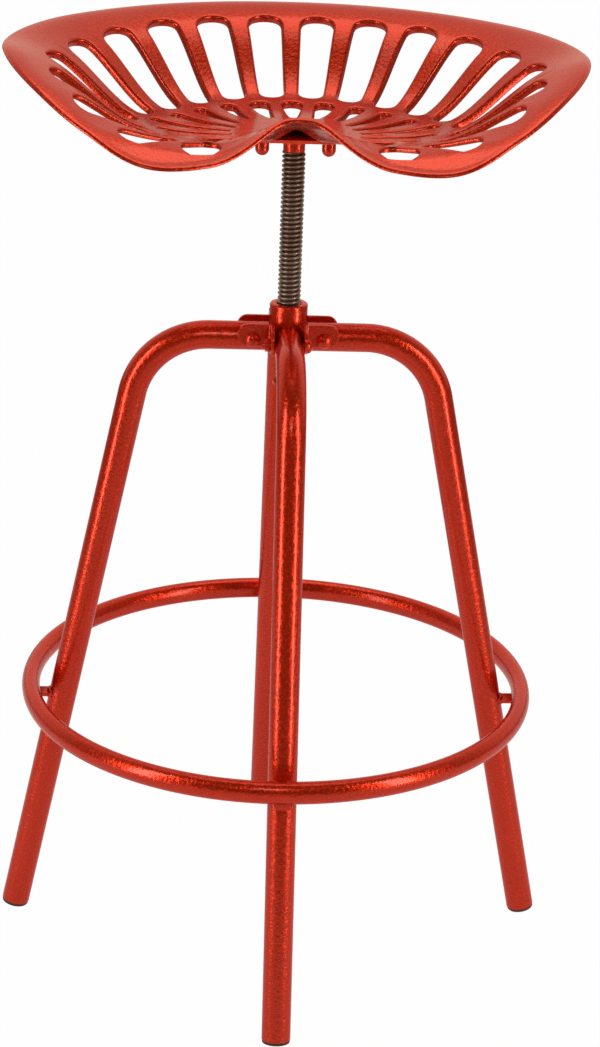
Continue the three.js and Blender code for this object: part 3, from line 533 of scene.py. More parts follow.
def corner_weld_mesh():
    """One upright weld bead from the collar to the bracket's bend, drawn on +X."""
    near, far = HUB_RADIUS - CORNER_WELD_SUNK, CORNER_WELD_REACH
    bm = bmesh.new()
    place = Matrix.Translation(((near + far) / 2, 0, BRACKET_MIDDLE))
    half_height = BRACKET_HALF_HEIGHT - CORNER_WELD_SHORT
    size = Matrix.Diagonal(((far - near) / 2, CORNER_WELD_HALF, half_height, 1))
    bmesh.ops.create_cube(bm, size=2, matrix=place @ size)
    bmesh.ops.subdivide_edges(bm, edges=bm.edges[:], cuts=9, use_grid_fill=True)
    smooth_lump(bm, 2, use_axis_x=False, use_axis_y=True, use_axis_z=True)
    ripple(bm, CORNER_RIPPLE, CORNER_PITCH, Vector((0, 0, 1)), 5)
    return bm


def bracket_mesh():
    """A bent strip in the corner between +X and +Y, with rounded wing ends."""
    bm = bmesh.new()
    half, inside, outside = BRACKET_HALF_HEIGHT, BRACKET_INSIDE, BRACKET_OUTSIDE
    corners = [(inside, -half), (outside, -half), (outside, half), (inside, half)]
    start = [bm.verts.new((BRACKET_REACH, y, BRACKET_MIDDLE + z)) for y, z in corners]
    edges = [bm.edges.new((start[i], start[(i + 1) % 4])) for i in range(4)]
    centre = BRACKET_OUTSIDE + BRACKET_BEND
    first = list(edges)
    edges = extend(bm, edges, Vector((centre - BRACKET_REACH, 0, 0)))
    edges = bend(bm, edges, (centre, centre, 0), (0, 0, 1), -QUARTER, 8)
    edges = extend(bm, edges, Vector((0, BRACKET_REACH - centre, 0)))
    ends = [bmesh.ops.contextual_create(bm, geom=loop)["faces"][0] for loop in (first, edges)]
    rounded = [e for face in ends for e in face.edges if abs(e.verts[0].co.z - e.verts[1].co.z) < 1]
    bmesh.ops.bevel(
        bm, geom=rounded, offset=BRACKET_CORNER, segments=9, profile=0.5, affect="EDGES", material=-1,
    )
    return bm


# ---------------------------------------------------------------- bolts and nuts
HEAD_RADIUS, HEAD_HEIGHT, HEAD_BRIM, SHANK_RADIUS, SHANK_PAST_NUT = 6.5, 4.5, 0.3, 3, 2
NUT_ACROSS, NUT_HEIGHT, NUT_CHAMFER, NUT_GAP = 10, 5, 0.7, 0.1
CAP_RADIUS, CAP_HEIGHT, CAP_ROUND, CAP_OUT = 5.85, 12.2, 0.6, 28


def dome_bolt_mesh():
    """A domed bolt along +Z: its head stands below the face at 0, its shank ends past the nut."""
    head, shank = HEAD_RADIUS, SHANK_RADIUS
    length = 2 * BRACKET_OUTSIDE + 2 * HEAD_BRIM + NUT_HEIGHT + SHANK_PAST_NUT
    sweep = np.linspace(0, QUARTER * 0.93, 14)
    dome = [(head * math.sin(a), -HEAD_BRIM - HEAD_HEIGHT * math.cos(a)) for a in sweep]
    brim = [(head, -0.75), (head, -0.35), (head - HEAD_BRIM, -0.05)]
    end = [(shank, -0.05), (shank, length - 0.5), (shank - 0.5, length), (0, length)]
    return turned([*dome, *brim, *end], 40)


def hex_nut_mesh():
    """A hexagon nut with its corners turned off at both faces."""
    bm = bmesh.new()
    bmesh.ops.create_circle(bm, segments=6, radius=NUT_ACROSS / math.sqrt(3), cap_ends=True)
    top = bmesh.ops.extrude_face_region(bm, geom=bm.faces[:])["geom"]
    top = [g for g in top if isinstance(g, bmesh.types.BMVert)]
    bmesh.ops.translate(bm, vec=(0, 0, NUT_HEIGHT), verts=top)
    bmesh.ops.bevel(
        bm, geom=[e for e in bm.edges if abs(e.verts[0].co.z - e.verts[1].co.z) < 0.1],
        offset=NUT_CHAMFER, segments=3, profile=0.5, affect="EDGES", material=-1,
    )
    return bm


def cap_nut_mesh():
    """A domed cap nut that hangs from the face at 0."""
    radius, straight = CAP_RADIUS, CAP_HEIGHT - CAP_RADIUS
    sweep = np.linspace(0, QUARTER, 16)
    dome = [(radius * math.sin(a), -straight - radius * math.cos(a)) for a in sweep]
    edge = arc(radius - CAP_ROUND, -CAP_ROUND, CAP_ROUND, 0, 90, 3)
    return turned([*dome, (radius, -1.0), *edge, (0, 0)], 48)


# ---------------------------------------------------------------- screw, its neck, stop washer and screw
THREAD_RADIUS, ROOT_RADIUS, PITCH = 10, 7.75, 4
SCREW_BOTTOM, CREST_AT, NECK_BOTTOM = 523.3, 524.8, 727
PLATE_TOP, PLATE_THICKNESS, PLATE_SIDE = 744.8, 3, 74
PLATE_CORNER = 9
NECK_TOP_RADIUS, NECK_TOP = 11.3, 741.5
THREAD_STEPS = 40  # faces round one turn
SCREW_END_RADIUS = 7.2  # where its chamfer ends
TENON_RADIUS, TENON_CHAMFER = 7, 0.8
WASHER_HOLE, WASHER_RADIUS, WASHER_LOW, WASHER_HIGH, WASHER_BREAK = 5.2, 12, 519.7, 522.7, 0.5
STOP_LOW, STOP_HEAD_RADIUS, STOP_HEAD_TOP, STOP_SOCKET, STOP_SOCKET_DEPTH = 514.4, 8, 519.4, 3.2, 3
STOP_SHOULDER, STOP_SHOULDER_TOP, STOP_SHANK, STOP_TOP = 5, 523.0, 4, 540


def screw_mesh():
    """The trapezoidal thread as one helical sweep, cut level at both ends."""
    steps = THREAD_STEPS
    below = CREST_AT - 2 * PITCH
    turns = math.ceil((NECK_BOTTOM - below) / PITCH) + 1
    half = [(THREAD_RADIUS, 0.3), (THREAD_RADIUS - 0.2, 0.75), (THREAD_RADIUS - 0.7, 1.2),
            (ROOT_RADIUS + 0.5, 1.55), (ROOT_RADIUS + 0.05, 1.8), (ROOT_RADIUS, 2)]
    shares = [*((r, -z) for r, z in reversed(half)), *half]
    bm = bmesh.new()
    verts, edges = line_of(bm, [(r, 0, below - PITCH + z) for r, z in shares])
    bmesh.ops.spin(
        bm, geom=verts + edges, cent=(0, 0, 0), axis=(0, 0, 1), dvec=(0, 0, PITCH / steps),
        angle=2 * math.pi * (turns + 1), steps=steps * (turns + 1), use_merge=False,
    )
    bmesh.ops.remove_doubles(bm, verts=bm.verts[:], dist=0.01)
    for height, normal in ((SCREW_BOTTOM, -1), (NECK_BOTTOM + 0.4, 1)):
        cut = bmesh.ops.bisect_plane(
            bm, geom=bm.verts[:] + bm.edges[:] + bm.faces[:], plane_co=(0, 0, height),
            plane_no=(0, 0, normal), clear_outer=True,
        )["geom_cut"]
        bmesh.ops.contextual_create(bm, geom=[g for g in cut if isinstance(g, bmesh.types.BMEdge)])
    # the chamfer at the lower end
    for vert in bm.verts:
        reach = math.hypot(vert.co.x, vert.co.y)
        limit = SCREW_END_RADIUS + (vert.co.z - SCREW_BOTTOM)
        if reach > limit:
            vert.co.x *= limit / reach
            vert.co.y *= limit / reach
    return bm


def neck_mesh():
    """The painted neck between the thread and the plate, its weld, and the tenon in the plate's hole."""
    tenon, top = TENON_RADIUS, PLATE_TOP + 1
    profile = [
        (0, NECK_BOTTOM - 0.2), (8.5, NECK_BOTTOM - 0.2), (9.1, NECK_BOTTOM + 0.3), (9.3, NECK_BOTTOM + 1.2),
        (9.3, NECK_BOTTOM + 5), (9.55, NECK_BOTTOM + 9), (NECK_TOP_RADIUS - 1.3, NECK_TOP - 2.6),
        (NECK_TOP_RADIUS - 0.5, NECK_TOP - 1.1), (NECK_TOP_RADIUS, NECK_TOP + 0.1), (tenon, NECK_TOP + 0.1),
        (tenon, top - TENON_CHAMFER), (tenon - TENON_CHAMFER, top), (0, top),
    ]
    return turned(profile, 64)


def plate_mesh():
    """The square plate under the seat, with rounded corners."""
    bm = bmesh.new()
    place = Matrix.Translation((0, 0, PLATE_TOP - PLATE_THICKNESS / 2))
    size = Matrix.Diagonal((PLATE_SIDE, PLATE_SIDE, PLATE_THICKNESS, 1))
    bmesh.ops.create_cube(bm, size=1, matrix=place @ size)
    bmesh.ops.bevel(
        bm, geom=upright_edges(bm), offset=PLATE_CORNER, segments=8, profile=0.5, affect="EDGES",
        material=-1,
    )
    return bm


def washer_mesh():
    """The stop washer, its outer edges broken."""
    outer, low, high, off = WASHER_RADIUS, WASHER_LOW, WASHER_HIGH, WASHER_BREAK
    rim = [(outer - off, low), (outer, low + off), (outer, high - off), (outer - off, high)]
    ring = [(WASHER_HOLE, low), *rim, (WASHER_HOLE, high)]
    return turned([*ring, ring[0]], 64)


def stop_screw_mesh():
    """The shoulder screw's round head with a socket, and its shoulder."""
    low, head, top, floor = STOP_LOW, STOP_HEAD_RADIUS, STOP_HEAD_TOP, STOP_LOW + STOP_SOCKET_DEPTH
    profile = [
        (0, floor), (STOP_SOCKET - 0.6, floor), (STOP_SOCKET, low), *arc(head - 1, low + 1, 1, -90, 0, 5),
        (head, top - 0.3), (head - 0.2, top), (STOP_SHOULDER, top), (STOP_SHOULDER, STOP_SHOULDER_TOP),
        (STOP_SHANK, STOP_SHOULDER_TOP), (STOP_SHANK, STOP_TOP), (0, STOP_TOP),
    ]
    return turned(profile, 48)


# ---------------------------------------------------------------- seat pan
# The seat is drawn round a fan centre in front of the spindle, where the lines of all slots meet.
# Tables hold a value every STATION degrees, from the middle of the back (0) to the pommel (180).
SEAT_THICKNESS, SEAT_CREST, SEAT_RISE, FAN_FORWARD = 3.5, 243.6, 73.6, 40
LIP_RADIUS, STATION, SLOT_PITCH = 4, 15, math.radians(14.4)
OUTER_SLOTS, INNER_SLOTS, WEB_HALF = 10, 9, 5
POMMEL_RISE, POMMEL_HALF_WIDTH, RIDGE_HALF_WIDTH, RIDGE_FLARE, RIDGE_BACK = 25.5, 74, 21, 42, 22
FLAT_HALF, FLAT_FADE, PAN_TOP = 38.5, 26, 748.6
CREST = [0.915, 0.923, 0.937, 0.968, 1.002, 1.016, 0.974, 0.904, 0.815, 0.7, 0.455, 0.3, 0.277]
CREST_RISE = [1, 0.998, 0.993, 0.975, 0.952, 0.907, 0.886, 0.689, 0.355, 0.03, 0.03, 0.075, 0.075]
OUTER_RISE = [0.892, 0.892, 0.885, 0.856, 0.8, 0.79, 0.755, 0.588, 0.293, 0.11, 0.06, 0.05, 0.045]
INNER_RISE = [0.096, 0.09, 0.075, 0.066, 0.06, 0.09, 0.09, 0.1, 0.14, 0.12, 0.05, 0.01, 0.01]
PAN_RISE = [0, 0, 0, 0, 0, 0, 0.01, 0.04, 0.05, 0.02, 0, 0, 0]
OUTER_END = [0.871, 0.873, 0.877, 0.87, 0.855, 0.86, 0.868, 0.88, 0.877, 0.8, 0.8, 0.8, 0.8]
INNER_END = [0.58, 0.579, 0.571, 0.552, 0.545, 0.555, 0.545, 0.546, 0.61, 0.6, 0.6, 0.6, 0.6]
PAN_END = [0.36, 0.36, 0.355, 0.345, 0.34, 0.345, 0.34, 0.34, 0.38, 0.39, 0.4, 0.36, 0.36]
WEDGE_TIP = [0.64, 0.64, 0.64, 0.54, 0.48, 0.46, 0.485, 0.515, 0.61, 0.72, 0.72, 0.72, 0.72]
WEDGE_END = [0.925, 0.925, 0.925, 0.925, 0.925, 0.925, 0.865, 0.8, 0.665, 0.62, 0.62, 0.62, 0.62]
RIDGE = [0, 0.1, 0.22, 0.4, 0.62, 0.83, 1]
POMMEL_EDGE = -FAN_FORWARD - SEAT_CREST * CREST[-1] - LIP_RADIUS
WEDGE_WIDTH = [0.146, 0.14, 0.112, 0.105, 0.1, 0.1, 0.1, 0.11, 0.165, 0.14, 0.14, 0.14, 0.14]
WEDGE_TIP_WIDTH = 0.035
SLOT_INNER_WIDTH = [0.168] * 9 + [0.186] * 4
SLOT_OUTER_WIDTH = [0.148] * 9 + [0.2] * 4
END_ROUND = 0.36  # how far a slot's rounded end runs, of its width
EDGE_ROUND, EDGE_BREAK = 2.8, 0.5  # rounding of a slot's upper and lower edge
FLANGE_DEPTH, FLANGE_WALL, FLANGE_FADE, FLANGE_CLEAR = 7, 2, 14, 2  # the turned-down edge
FLANGE_FRONT, FLANGE_FRONT_FADE = -50, 50  # in front of this it gets shallower
CORE_MARGIN, RIM_MARGIN = 6, 6.5  # from a slot's end to the next line of faces
SLOPE_STEP = 0.05
COLUMNS = 6  # columns of faces in half a slot pitch
INNER_STEPS, OUTER_STEPS = 9, 12  # faces along a slot's side


def hermite(t, start, end, slope_start, slope_end):
    """A cubic from start to end with the slopes given there."""
    t2, t3 = t * t, t * t * t
    return (2 * t3 - 3 * t2 + 1) * start + (3 * t2 - 2 * t3) * end + (t3 - 2 * t2 + t) * slope_start \
        + (t3 - t2) * slope_end


def through(values, place, before, after):
    """A smooth curve through evenly spaced values, at places counted in steps."""
    values = np.array([before, *values, after], float)
    at = np.clip(place, 0, len(values) - 3)
    i = np.minimum(at.astype(int), len(values) - 4)
    p0, p1, p2, p3 = (values[i + k] for k in range(4))
    return hermite(at - i, p1, p2, (p2 - p0) / 2, (p3 - p1) / 2)


def around(table, angle):
    """A table's value at an angle from the back, the same on both sides."""
    degrees = np.abs(np.degrees(np.arctan2(np.sin(angle), np.cos(angle))))
    return through(table, degrees / STATION, table[1], table[-2])


def crest_radius(angle):
    """The rim's top line."""
    return SEAT_CREST * around(CREST, angle)


def knots(angle):
    """The profile's knots along each direction: pole, pan, inner and outer slot ends, and rim."""
    crest = crest_radius(angle)
    radii = np.stack([0 * crest, *(crest * around(t, angle) for t in (PAN_END, INNER_END, OUTER_END)), crest])
    rises = (PAN_RISE, INNER_RISE, OUTER_RISE, CREST_RISE)
    heights = np.stack([0 * crest, *(SEAT_RISE * around(t, angle) for t in rises)])
    return radii, heights


def profile_height(radii, heights, radius):
    """A curve through the knots that never overshoots them and is level at both ends."""
    steps = np.diff(heights, axis=0) / np.diff(radii, axis=0)
    slopes = np.zeros_like(radii)
    before, after = steps[:-1], steps[1:]
    both = before + after
    slopes[1:-1] = np.where(before * after > 0, 2 * before * after / np.where(both == 0, 1, both), 0)
    at = np.minimum(radius, radii[-1])
    i = np.clip((radii < at).sum(0) - 1, 0, len(radii) - 2)
    pick = np.arange(len(at))
    span = radii[i + 1, pick] - radii[i, pick]
    return hermite(
        (at - radii[i, pick]) / span, heights[i, pick], heights[i + 1, pick],
        slopes[i, pick] * span, slopes[i + 1, pick] * span,
    )


def smoothstep(t):
    """0 to 1 as t goes from 0 to 1, level at both ends."""
    t = np.clip(t, 0, 1)
    return t * t * (3 - 2 * t)


def ridge_height(x, y):
    """The ridge that rises from the plate's back to the pommel."""
    along = (RIDGE_BACK - y) / (RIDGE_BACK - POMMEL_EDGE)
    height = POMMEL_RISE * through(RIDGE, along * (len(RIDGE) - 1), 0, RIDGE[-1])
    flare = smoothstep((-PLATE_SIDE / 2 - y) / RIDGE_FLARE)
    half_width = RIDGE_HALF_WIDTH + (POMMEL_HALF_WIDTH - RIDGE_HALF_WIDTH) * flare
    return height * np.cos(QUARTER * np.minimum(np.abs(x) / half_width, 1)) ** 2


def seat_height(x, y):
    """The seat's top surface, which is flat over the plate."""
    fan_y = y + FAN_FORWARD
    radii, heights = knots(np.arctan2(x, fan_y))
    clear = np.hypot(np.maximum(np.abs(x) - FLAT_HALF, 0), np.maximum(np.abs(y) - FLAT_HALF, 0))
    shaped = profile_height(radii, heights, np.hypot(x, fan_y)) * smoothstep(clear / FLAT_FADE)
    return PAN_TOP + shaped + ridge_height(x, y)


def seat_slopes(x, y):
    small = SLOPE_STEP
    slope_x = (seat_height(x + small, y) - seat_height(x - small, y)) / (2 * small)
    slope_y = (seat_height(x, y + small) - seat_height(x, y - small)) / (2 * small)
    return slope_x, slope_y


def seat_points(x, y, depth):
    """Points of the seat's top surface, moved down along its normal by depth."""
    slope_x, slope_y = seat_slopes(x, y)
    normal = np.stack([-slope_x, -slope_y, np.ones_like(x)], -1)
    normal /= np.linalg.norm(normal, axis=-1, keepdims=True)
    return np.stack([x, y, seat_height(x, y)], -1) - normal * np.asarray(depth)[..., None]


def polar(radius, angle):
    """x and y of a point round the fan's centre."""
    return radius * np.sin(angle), radius * np.cos(angle) - FAN_FORWARD


def wedge_end(angle):
    """The radius of a wedge slot's outer end."""
    return knots(angle)[0][2] * around(WEDGE_END, angle)


def core_edge(angle):
    """The line round the middle of the seat, inside the wedge slots' tips."""
    return around(WEDGE_TIP, angle) * wedge_end(angle) - CORE_MARGIN


def middle_edge(angle):
    """The line along the web between the inner and outer slots."""
    return knots(angle)[0][2] - WEB_HALF


def rim_edge(angle):
    """The line between the outer slots' ends and the rim."""
    return knots(angle)[0][3] + RIM_MARGIN


def add_patch(bm, points):
    """A grid of faces through a (rows, columns, 3) array of points."""
    rows, columns = points.shape[:2]
    made = bmesh.ops.create_grid(bm, x_segments=columns - 1, y_segments=rows - 1, size=1)["verts"]
    for vert in made:
        column = round((vert.co.x + 1) / 2 * (columns - 1))
        row = round((vert.co.y + 1) / 2 * (rows - 1))
        vert.co = points[row, column]


def add_sheets(bm, x, y):
    """The seat's top and underside over the same plan."""
    shape = x.shape
    for depth in (0, SEAT_THICKNESS):
        flat = seat_points(x.ravel(), y.ravel(), np.full(x.size, depth, float))
        add_patch(bm, flat.reshape(*shape, 3))


def slot_outline(start, end, width_start, width_end, steps):
    """(along, across) points round a slot, and their outward directions, from its inner left corner."""
    tip, tail = END_ROUND * width_start, END_ROUND * width_end
    sweep = np.linspace(0, math.pi, 2 * COLUMNS + 1)
    inner = np.stack([start + tip - tip * np.sin(sweep), -width_start / 2 * np.cos(sweep)], -1)
    outer = np.stack([end - tail + tail * np.sin(sweep), width_end / 2 * np.cos(sweep)], -1)
    run = np.linspace(0, 1, steps + 1)[:, None]
    right = inner[-1] + (outer[0] - inner[-1]) * run
    left = outer[-1] + (inner[0] - outer[-1]) * run
    loop = np.concatenate([inner[:-1], right[:-1], outer[:-1], left])
    ahead = np.roll(loop[:-1], -1, axis=0)
    behind = np.roll(loop[:-1], 1, axis=0)
    tangent = ahead - behind
    out = np.stack([-tangent[:, 1], tangent[:, 0]], -1)
    out /= np.linalg.norm(out, axis=1, keepdims=True)
    centre = loop[:-1].mean(0)
    if ((loop[:-1] - centre) * out).sum() < 0:
        out = -out
    return loop, np.concatenate([out, out[:1]])


def flange_depth(x, y):
    """How deep a slot's edge is turned down: less near the plate, which it has to clear, and in front."""
    half = PLATE_SIDE / 2
    clear = np.hypot(np.maximum(np.abs(x) - half, 0), np.maximum(np.abs(y) - half, 0))
    least = SEAT_THICKNESS + 2 * EDGE_BREAK
    front = smoothstep((FLANGE_FRONT - y) / FLANGE_FRONT_FADE)
    away = smoothstep((clear - FLANGE_CLEAR) / FLANGE_FADE)
    return least + (FLANGE_DEPTH - least) * away * (1 - front)


def add_slot_cell(bm, angle, inner_edge, outer_edge, outline, steps):
    """The seat round one slot, from its cell's edge down through the slot and back along the underside."""
    half = SLOT_PITCH / 2
    spread_angles = np.linspace(-half, half, 2 * COLUMNS + 1)
    left, right = angle - half, angle + half
    run = np.linspace(0, 1, steps + 1)

    def side_line(at):
        start, end = inner_edge(np.array([at])), outer_edge(np.array([at]))
        return start + (end - start) * run

    side_left, side_right = side_line(left), side_line(right)
    low, high = angle + spread_angles, angle + spread_angles[::-1]
    edge_x, edge_y = (np.concatenate(part) for part in zip(
        [a[:-1] for a in polar(inner_edge(low), low)],
        [a[:-1] for a in polar(side_right, np.full(steps + 1, right))],
        [a[:-1] for a in polar(outer_edge(high), high)],
        polar(side_left[::-1], np.full(steps + 1, left)),
    ))
    loop, out = outline
    sine, cosine = math.sin(angle), math.cos(angle)

    def plan(points):
        return (points[:, 0] * sine + points[:, 1] * cosine,
                points[:, 0] * cosine - points[:, 1] * sine - FAN_FORWARD)

    hole_x, hole_y = plan(loop)
    # a step along the surface is shorter in plan where the seat is steep
    slope_x, slope_y = seat_slopes(hole_x, hole_y)
    steep = slope_x * sine + slope_y * cosine
    cross = slope_x * cosine - slope_y * sine
    out = out / np.stack([np.sqrt(1 + steep ** 2), np.sqrt(1 + cross ** 2)], -1)

    def moved(distance):
        return plan(loop + out * distance)

    rows = []
    start_x, start_y = moved(EDGE_ROUND)
    for share in (0, 0.36, 0.7):
        rows.append((edge_x + (start_x - edge_x) * share, edge_y + (start_y - edge_y) * share, 0))
    for turn in np.linspace(0, QUARTER, 6):
        rows.append((*moved(EDGE_ROUND * (1 - math.sin(turn))), EDGE_ROUND * (1 - math.cos(turn))))
    depth = flange_depth(hole_x, hole_y)
    for turn in np.linspace(0, QUARTER, 3):
        rows.append((*moved(EDGE_BREAK * (1 - math.cos(turn))), depth - EDGE_BREAK * (1 - math.sin(turn))))
    for turn in np.linspace(0, QUARTER, 3):
        back = FLANGE_WALL - EDGE_BREAK * (1 - math.sin(turn))
        rows.append((*moved(back), depth - EDGE_BREAK * (1 - math.cos(turn))))
    rows.append((*moved(FLANGE_WALL), SEAT_THICKNESS + EDGE_BREAK))
    start_x, start_y = moved(FLANGE_WALL + EDGE_BREAK)
    for share in (0.6, 0.25, 0):
        x, y = edge_x + (start_x - edge_x) * share, edge_y + (start_y - edge_y) * share
        rows.append((x, y, SEAT_THICKNESS))
    points = [seat_points(x, y, depth + np.zeros(len(x))) for x, y, depth in rows]
    add_patch(bm, np.stack(points))


def seat_mesh():
    """The whole seat pan: a cell of faces round each slot, the plain parts, and the rolled rim."""
    bm = bmesh.new()
    half = SLOT_PITCH / 2
    for i in range(-INNER_SLOTS, INNER_SLOTS + 1):
        angle = i * SLOT_PITCH
        end = wedge_end(np.array([angle]))[0]
        tip_share, width_share = (around(table, np.array([angle]))[0] for table in (WEDGE_TIP, WEDGE_WIDTH))
        widths = end * WEDGE_TIP_WIDTH, end * width_share
        outline = slot_outline(tip_share * end, end, *widths, INNER_STEPS)
        add_slot_cell(bm, angle, core_edge, middle_edge, outline, INNER_STEPS)
    for i in range(-OUTER_SLOTS, OUTER_SLOTS):
        angle = (i + 0.5) * SLOT_PITCH
        start, end = knots(np.array([angle]))[0][2:4, 0]
        widths = [around(table, np.array([angle]))[0] for table in (SLOT_INNER_WIDTH, SLOT_OUTER_WIDTH)]
        outline = slot_outline(start, end, start * widths[0], end * widths[1], OUTER_STEPS)
        add_slot_cell(bm, angle, middle_edge, rim_edge, outline, OUTER_STEPS)
    # the plain front, beside the slots
    for first, inner_edge, outer_edge, steps in (
        ((INNER_SLOTS + 0.5) * SLOT_PITCH, core_edge, middle_edge, INNER_STEPS),
        (OUTER_SLOTS * SLOT_PITCH, middle_edge, rim_edge, OUTER_STEPS),
    ):
        span = 2 * math.pi - 2 * first
        count = round(span / half) * COLUMNS
        angles = first + np.linspace(0, span, count + 1)
        run = np.linspace(0, 1, steps + 1)[:, None]
        radius = inner_edge(angles) + (outer_edge(angles) - inner_edge(angles)) * run
        add_sheets(bm, *polar(radius, np.broadcast_to(angles, radius.shape)))
    # the middle, from its pole to the slots, and the rim
    angles = np.linspace(0, 2 * math.pi, 50 * COLUMNS + 1)
    shares = np.array([0, 0.03, 0.08, 0.16, 0.26, 0.38, 0.5, 0.62, 0.74, 0.86, 1])[:, None]
    radius = core_edge(angles) * shares
    add_sheets(bm, *polar(radius, np.broadcast_to(angles, radius.shape)))
    run = np.linspace(0, 1, 6)[:, None]
    radius = rim_edge(angles) + (crest_radius(angles) - rim_edge(angles)) * run
    add_sheets(bm, *polar(radius, np.broadcast_to(angles, radius.shape)))
    # the rolled edge, out and down from the rim's top to a flat underside
    roll = np.radians([14, 28, 42, 56, 70, 80])
    lip = [(LIP_RADIUS * math.sin(a), LIP_RADIUS * (1 - math.cos(a))) for a in roll]
    under = [0.2, 0.5, 1, 3, LIP_RADIUS - 0.3]
    lip += [(LIP_RADIUS - back, LIP_RADIUS - up) for back, up in zip(under, (0.35, 0.1, 0, 0, 0.15))]
    small = 1e-3
    ahead = np.stack(polar(crest_radius(angles + small), angles + small), -1)
    behind = np.stack(polar(crest_radius(angles - small), angles - small), -1)
    along = ahead - behind
    along /= np.linalg.norm(along, axis=1, keepdims=True)
    top = seat_points(*polar(crest_radius(angles), angles), np.zeros(len(angles)))
    low = seat_points(*polar(crest_radius(angles), angles), np.full(len(angles), SEAT_THICKNESS, float))
    rows = [top]
    for out, down in lip:
        x, y = top[:, 0] - along[:, 1] * out, top[:, 1] + along[:, 0] * out
        rows.append(np.stack([x, y, top[:, 2] - down], -1))
    add_patch(bm, np.stack([*rows, low]))
    bmesh.ops.remove_doubles(bm, verts=bm.verts[:], dist=0.02)
    return bm


# ---------------------------------------------------------------- assembly
make_camera()

for i, place in enumerate(LEGS):
    turn = quarter_turn(i)
    finish_piece(
        f"leg_tube_{place}", leg_mesh(), frame_paint, "base", [f"leg_{place}"], edge=0.35, turn=turn,
    )
    finish_piece(f"end_plug_{place}", plug_mesh(), plastic, "base", [f"foot_plug_{place}"], turn=turn)
    finish_piece(f"tab_{place}", tab_mesh(), frame_paint, "base", [f"ring_tab_{place}"], edge=0.5, turn=turn)
    finish_piece(f"tab_bead_top_{place}", leg_bead_mesh(1), weld_paint, "base", turn=turn)
    finish_piece(f"tab_bead_under_{place}", leg_bead_mesh(-1), weld_paint, "base", turn=turn)
    finish_piece(f"ring_weld_{place}", ring_weld_mesh(), weld_paint, "base", turn=turn)
    # all bolt heads face the front or the left
    side = 1 if place in ("left", "front") else -1
    across = Matrix.Translation((LEG_BOLT_RADIUS, 0, LEG_BOLT_HEIGHT))
    fastening = turn @ across @ Matrix.Rotation(side * QUARTER, 4, "X")
    bolt_place = fastening @ Matrix.Translation((0, 0, -BRACKET_OUTSIDE))
    nut_place = fastening @ Matrix.Translation((0, 0, BRACKET_OUTSIDE + NUT_GAP))
    finish_piece(
        f"dome_bolt_{place}", dome_bolt_mesh(), frame_paint, "base", [f"leg_bolt_{place}"], turn=bolt_place,
    )
    finish_piece(
        f"hex_nut_{place}", hex_nut_mesh(), frame_paint, "base", [f"leg_nut_{place}"], sharp=25,
        turn=nut_place,
    )

for i, place in enumerate(CORNERS):
    turn = quarter_turn(i)
    finish_piece(
        f"bracket_{place}", bracket_mesh(), frame_paint, "base", [f"hub_bracket_{place}"], edge=0.7,
        turn=turn,
    )
    diagonal = turn @ Matrix.Rotation(QUARTER / 2, 4, "Z")
    finish_piece(f"corner_weld_{place}", corner_weld_mesh(), weld_paint, "base", turn=diagonal)
    nut_place = turn @ Matrix.Translation((CAP_OUT, CAP_OUT, PLATE_TOP - PLATE_THICKNESS))
    finish_piece(
        f"domed_nut_{place}", cap_nut_mesh(), frame_paint, "seat", [f"cap_nut_{place}"], turn=nut_place,
    )

finish_piece("ring_tube", ring_mesh(), frame_paint, "base", ["foot_ring"])
finish_piece("collar", collar_mesh(), frame_paint, "base", ["hub_nut"], sharp=35)
finish_piece("screw", screw_mesh(), steel, "seat", ["spindle"], sharp=50)
finish_piece("neck", neck_mesh(), frame_paint, "seat", ["spindle"], sharp=50)
finish_piece("plate", plate_mesh(), plate_paint, "seat", ["seat_plate"], edge=0.5)
finish_piece("washer", washer_mesh(), frame_paint, "stop_slider", ["stop_washer"], sharp=30)
finish_piece("shoulder_screw", stop_screw_mesh(), steel, "seat", ["stop_screw"], sharp=30)
finish_piece("pan", seat_mesh(), seat_paint, "seat", ["seat_pan"], sharp=60)

for place in CORNERS:
    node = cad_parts[f"seat_stud_{place}"]
    for slot in node.material_slots:
        slot.material = steel


# ---------------------------------------------------------------- studio
def greatest(nodes, links, *sockets):
    """The greatest of some values between 0 and 1."""
    joined = sockets[0]
    for socket in sockets[1:]:
        pick = add(nodes, "ShaderNodeMath", operation="MAXIMUM")
        links.new(joined, pick.inputs[0])
        links.new(socket, pick.inputs[1])
        joined = pick.outputs["Value"]
    return joined


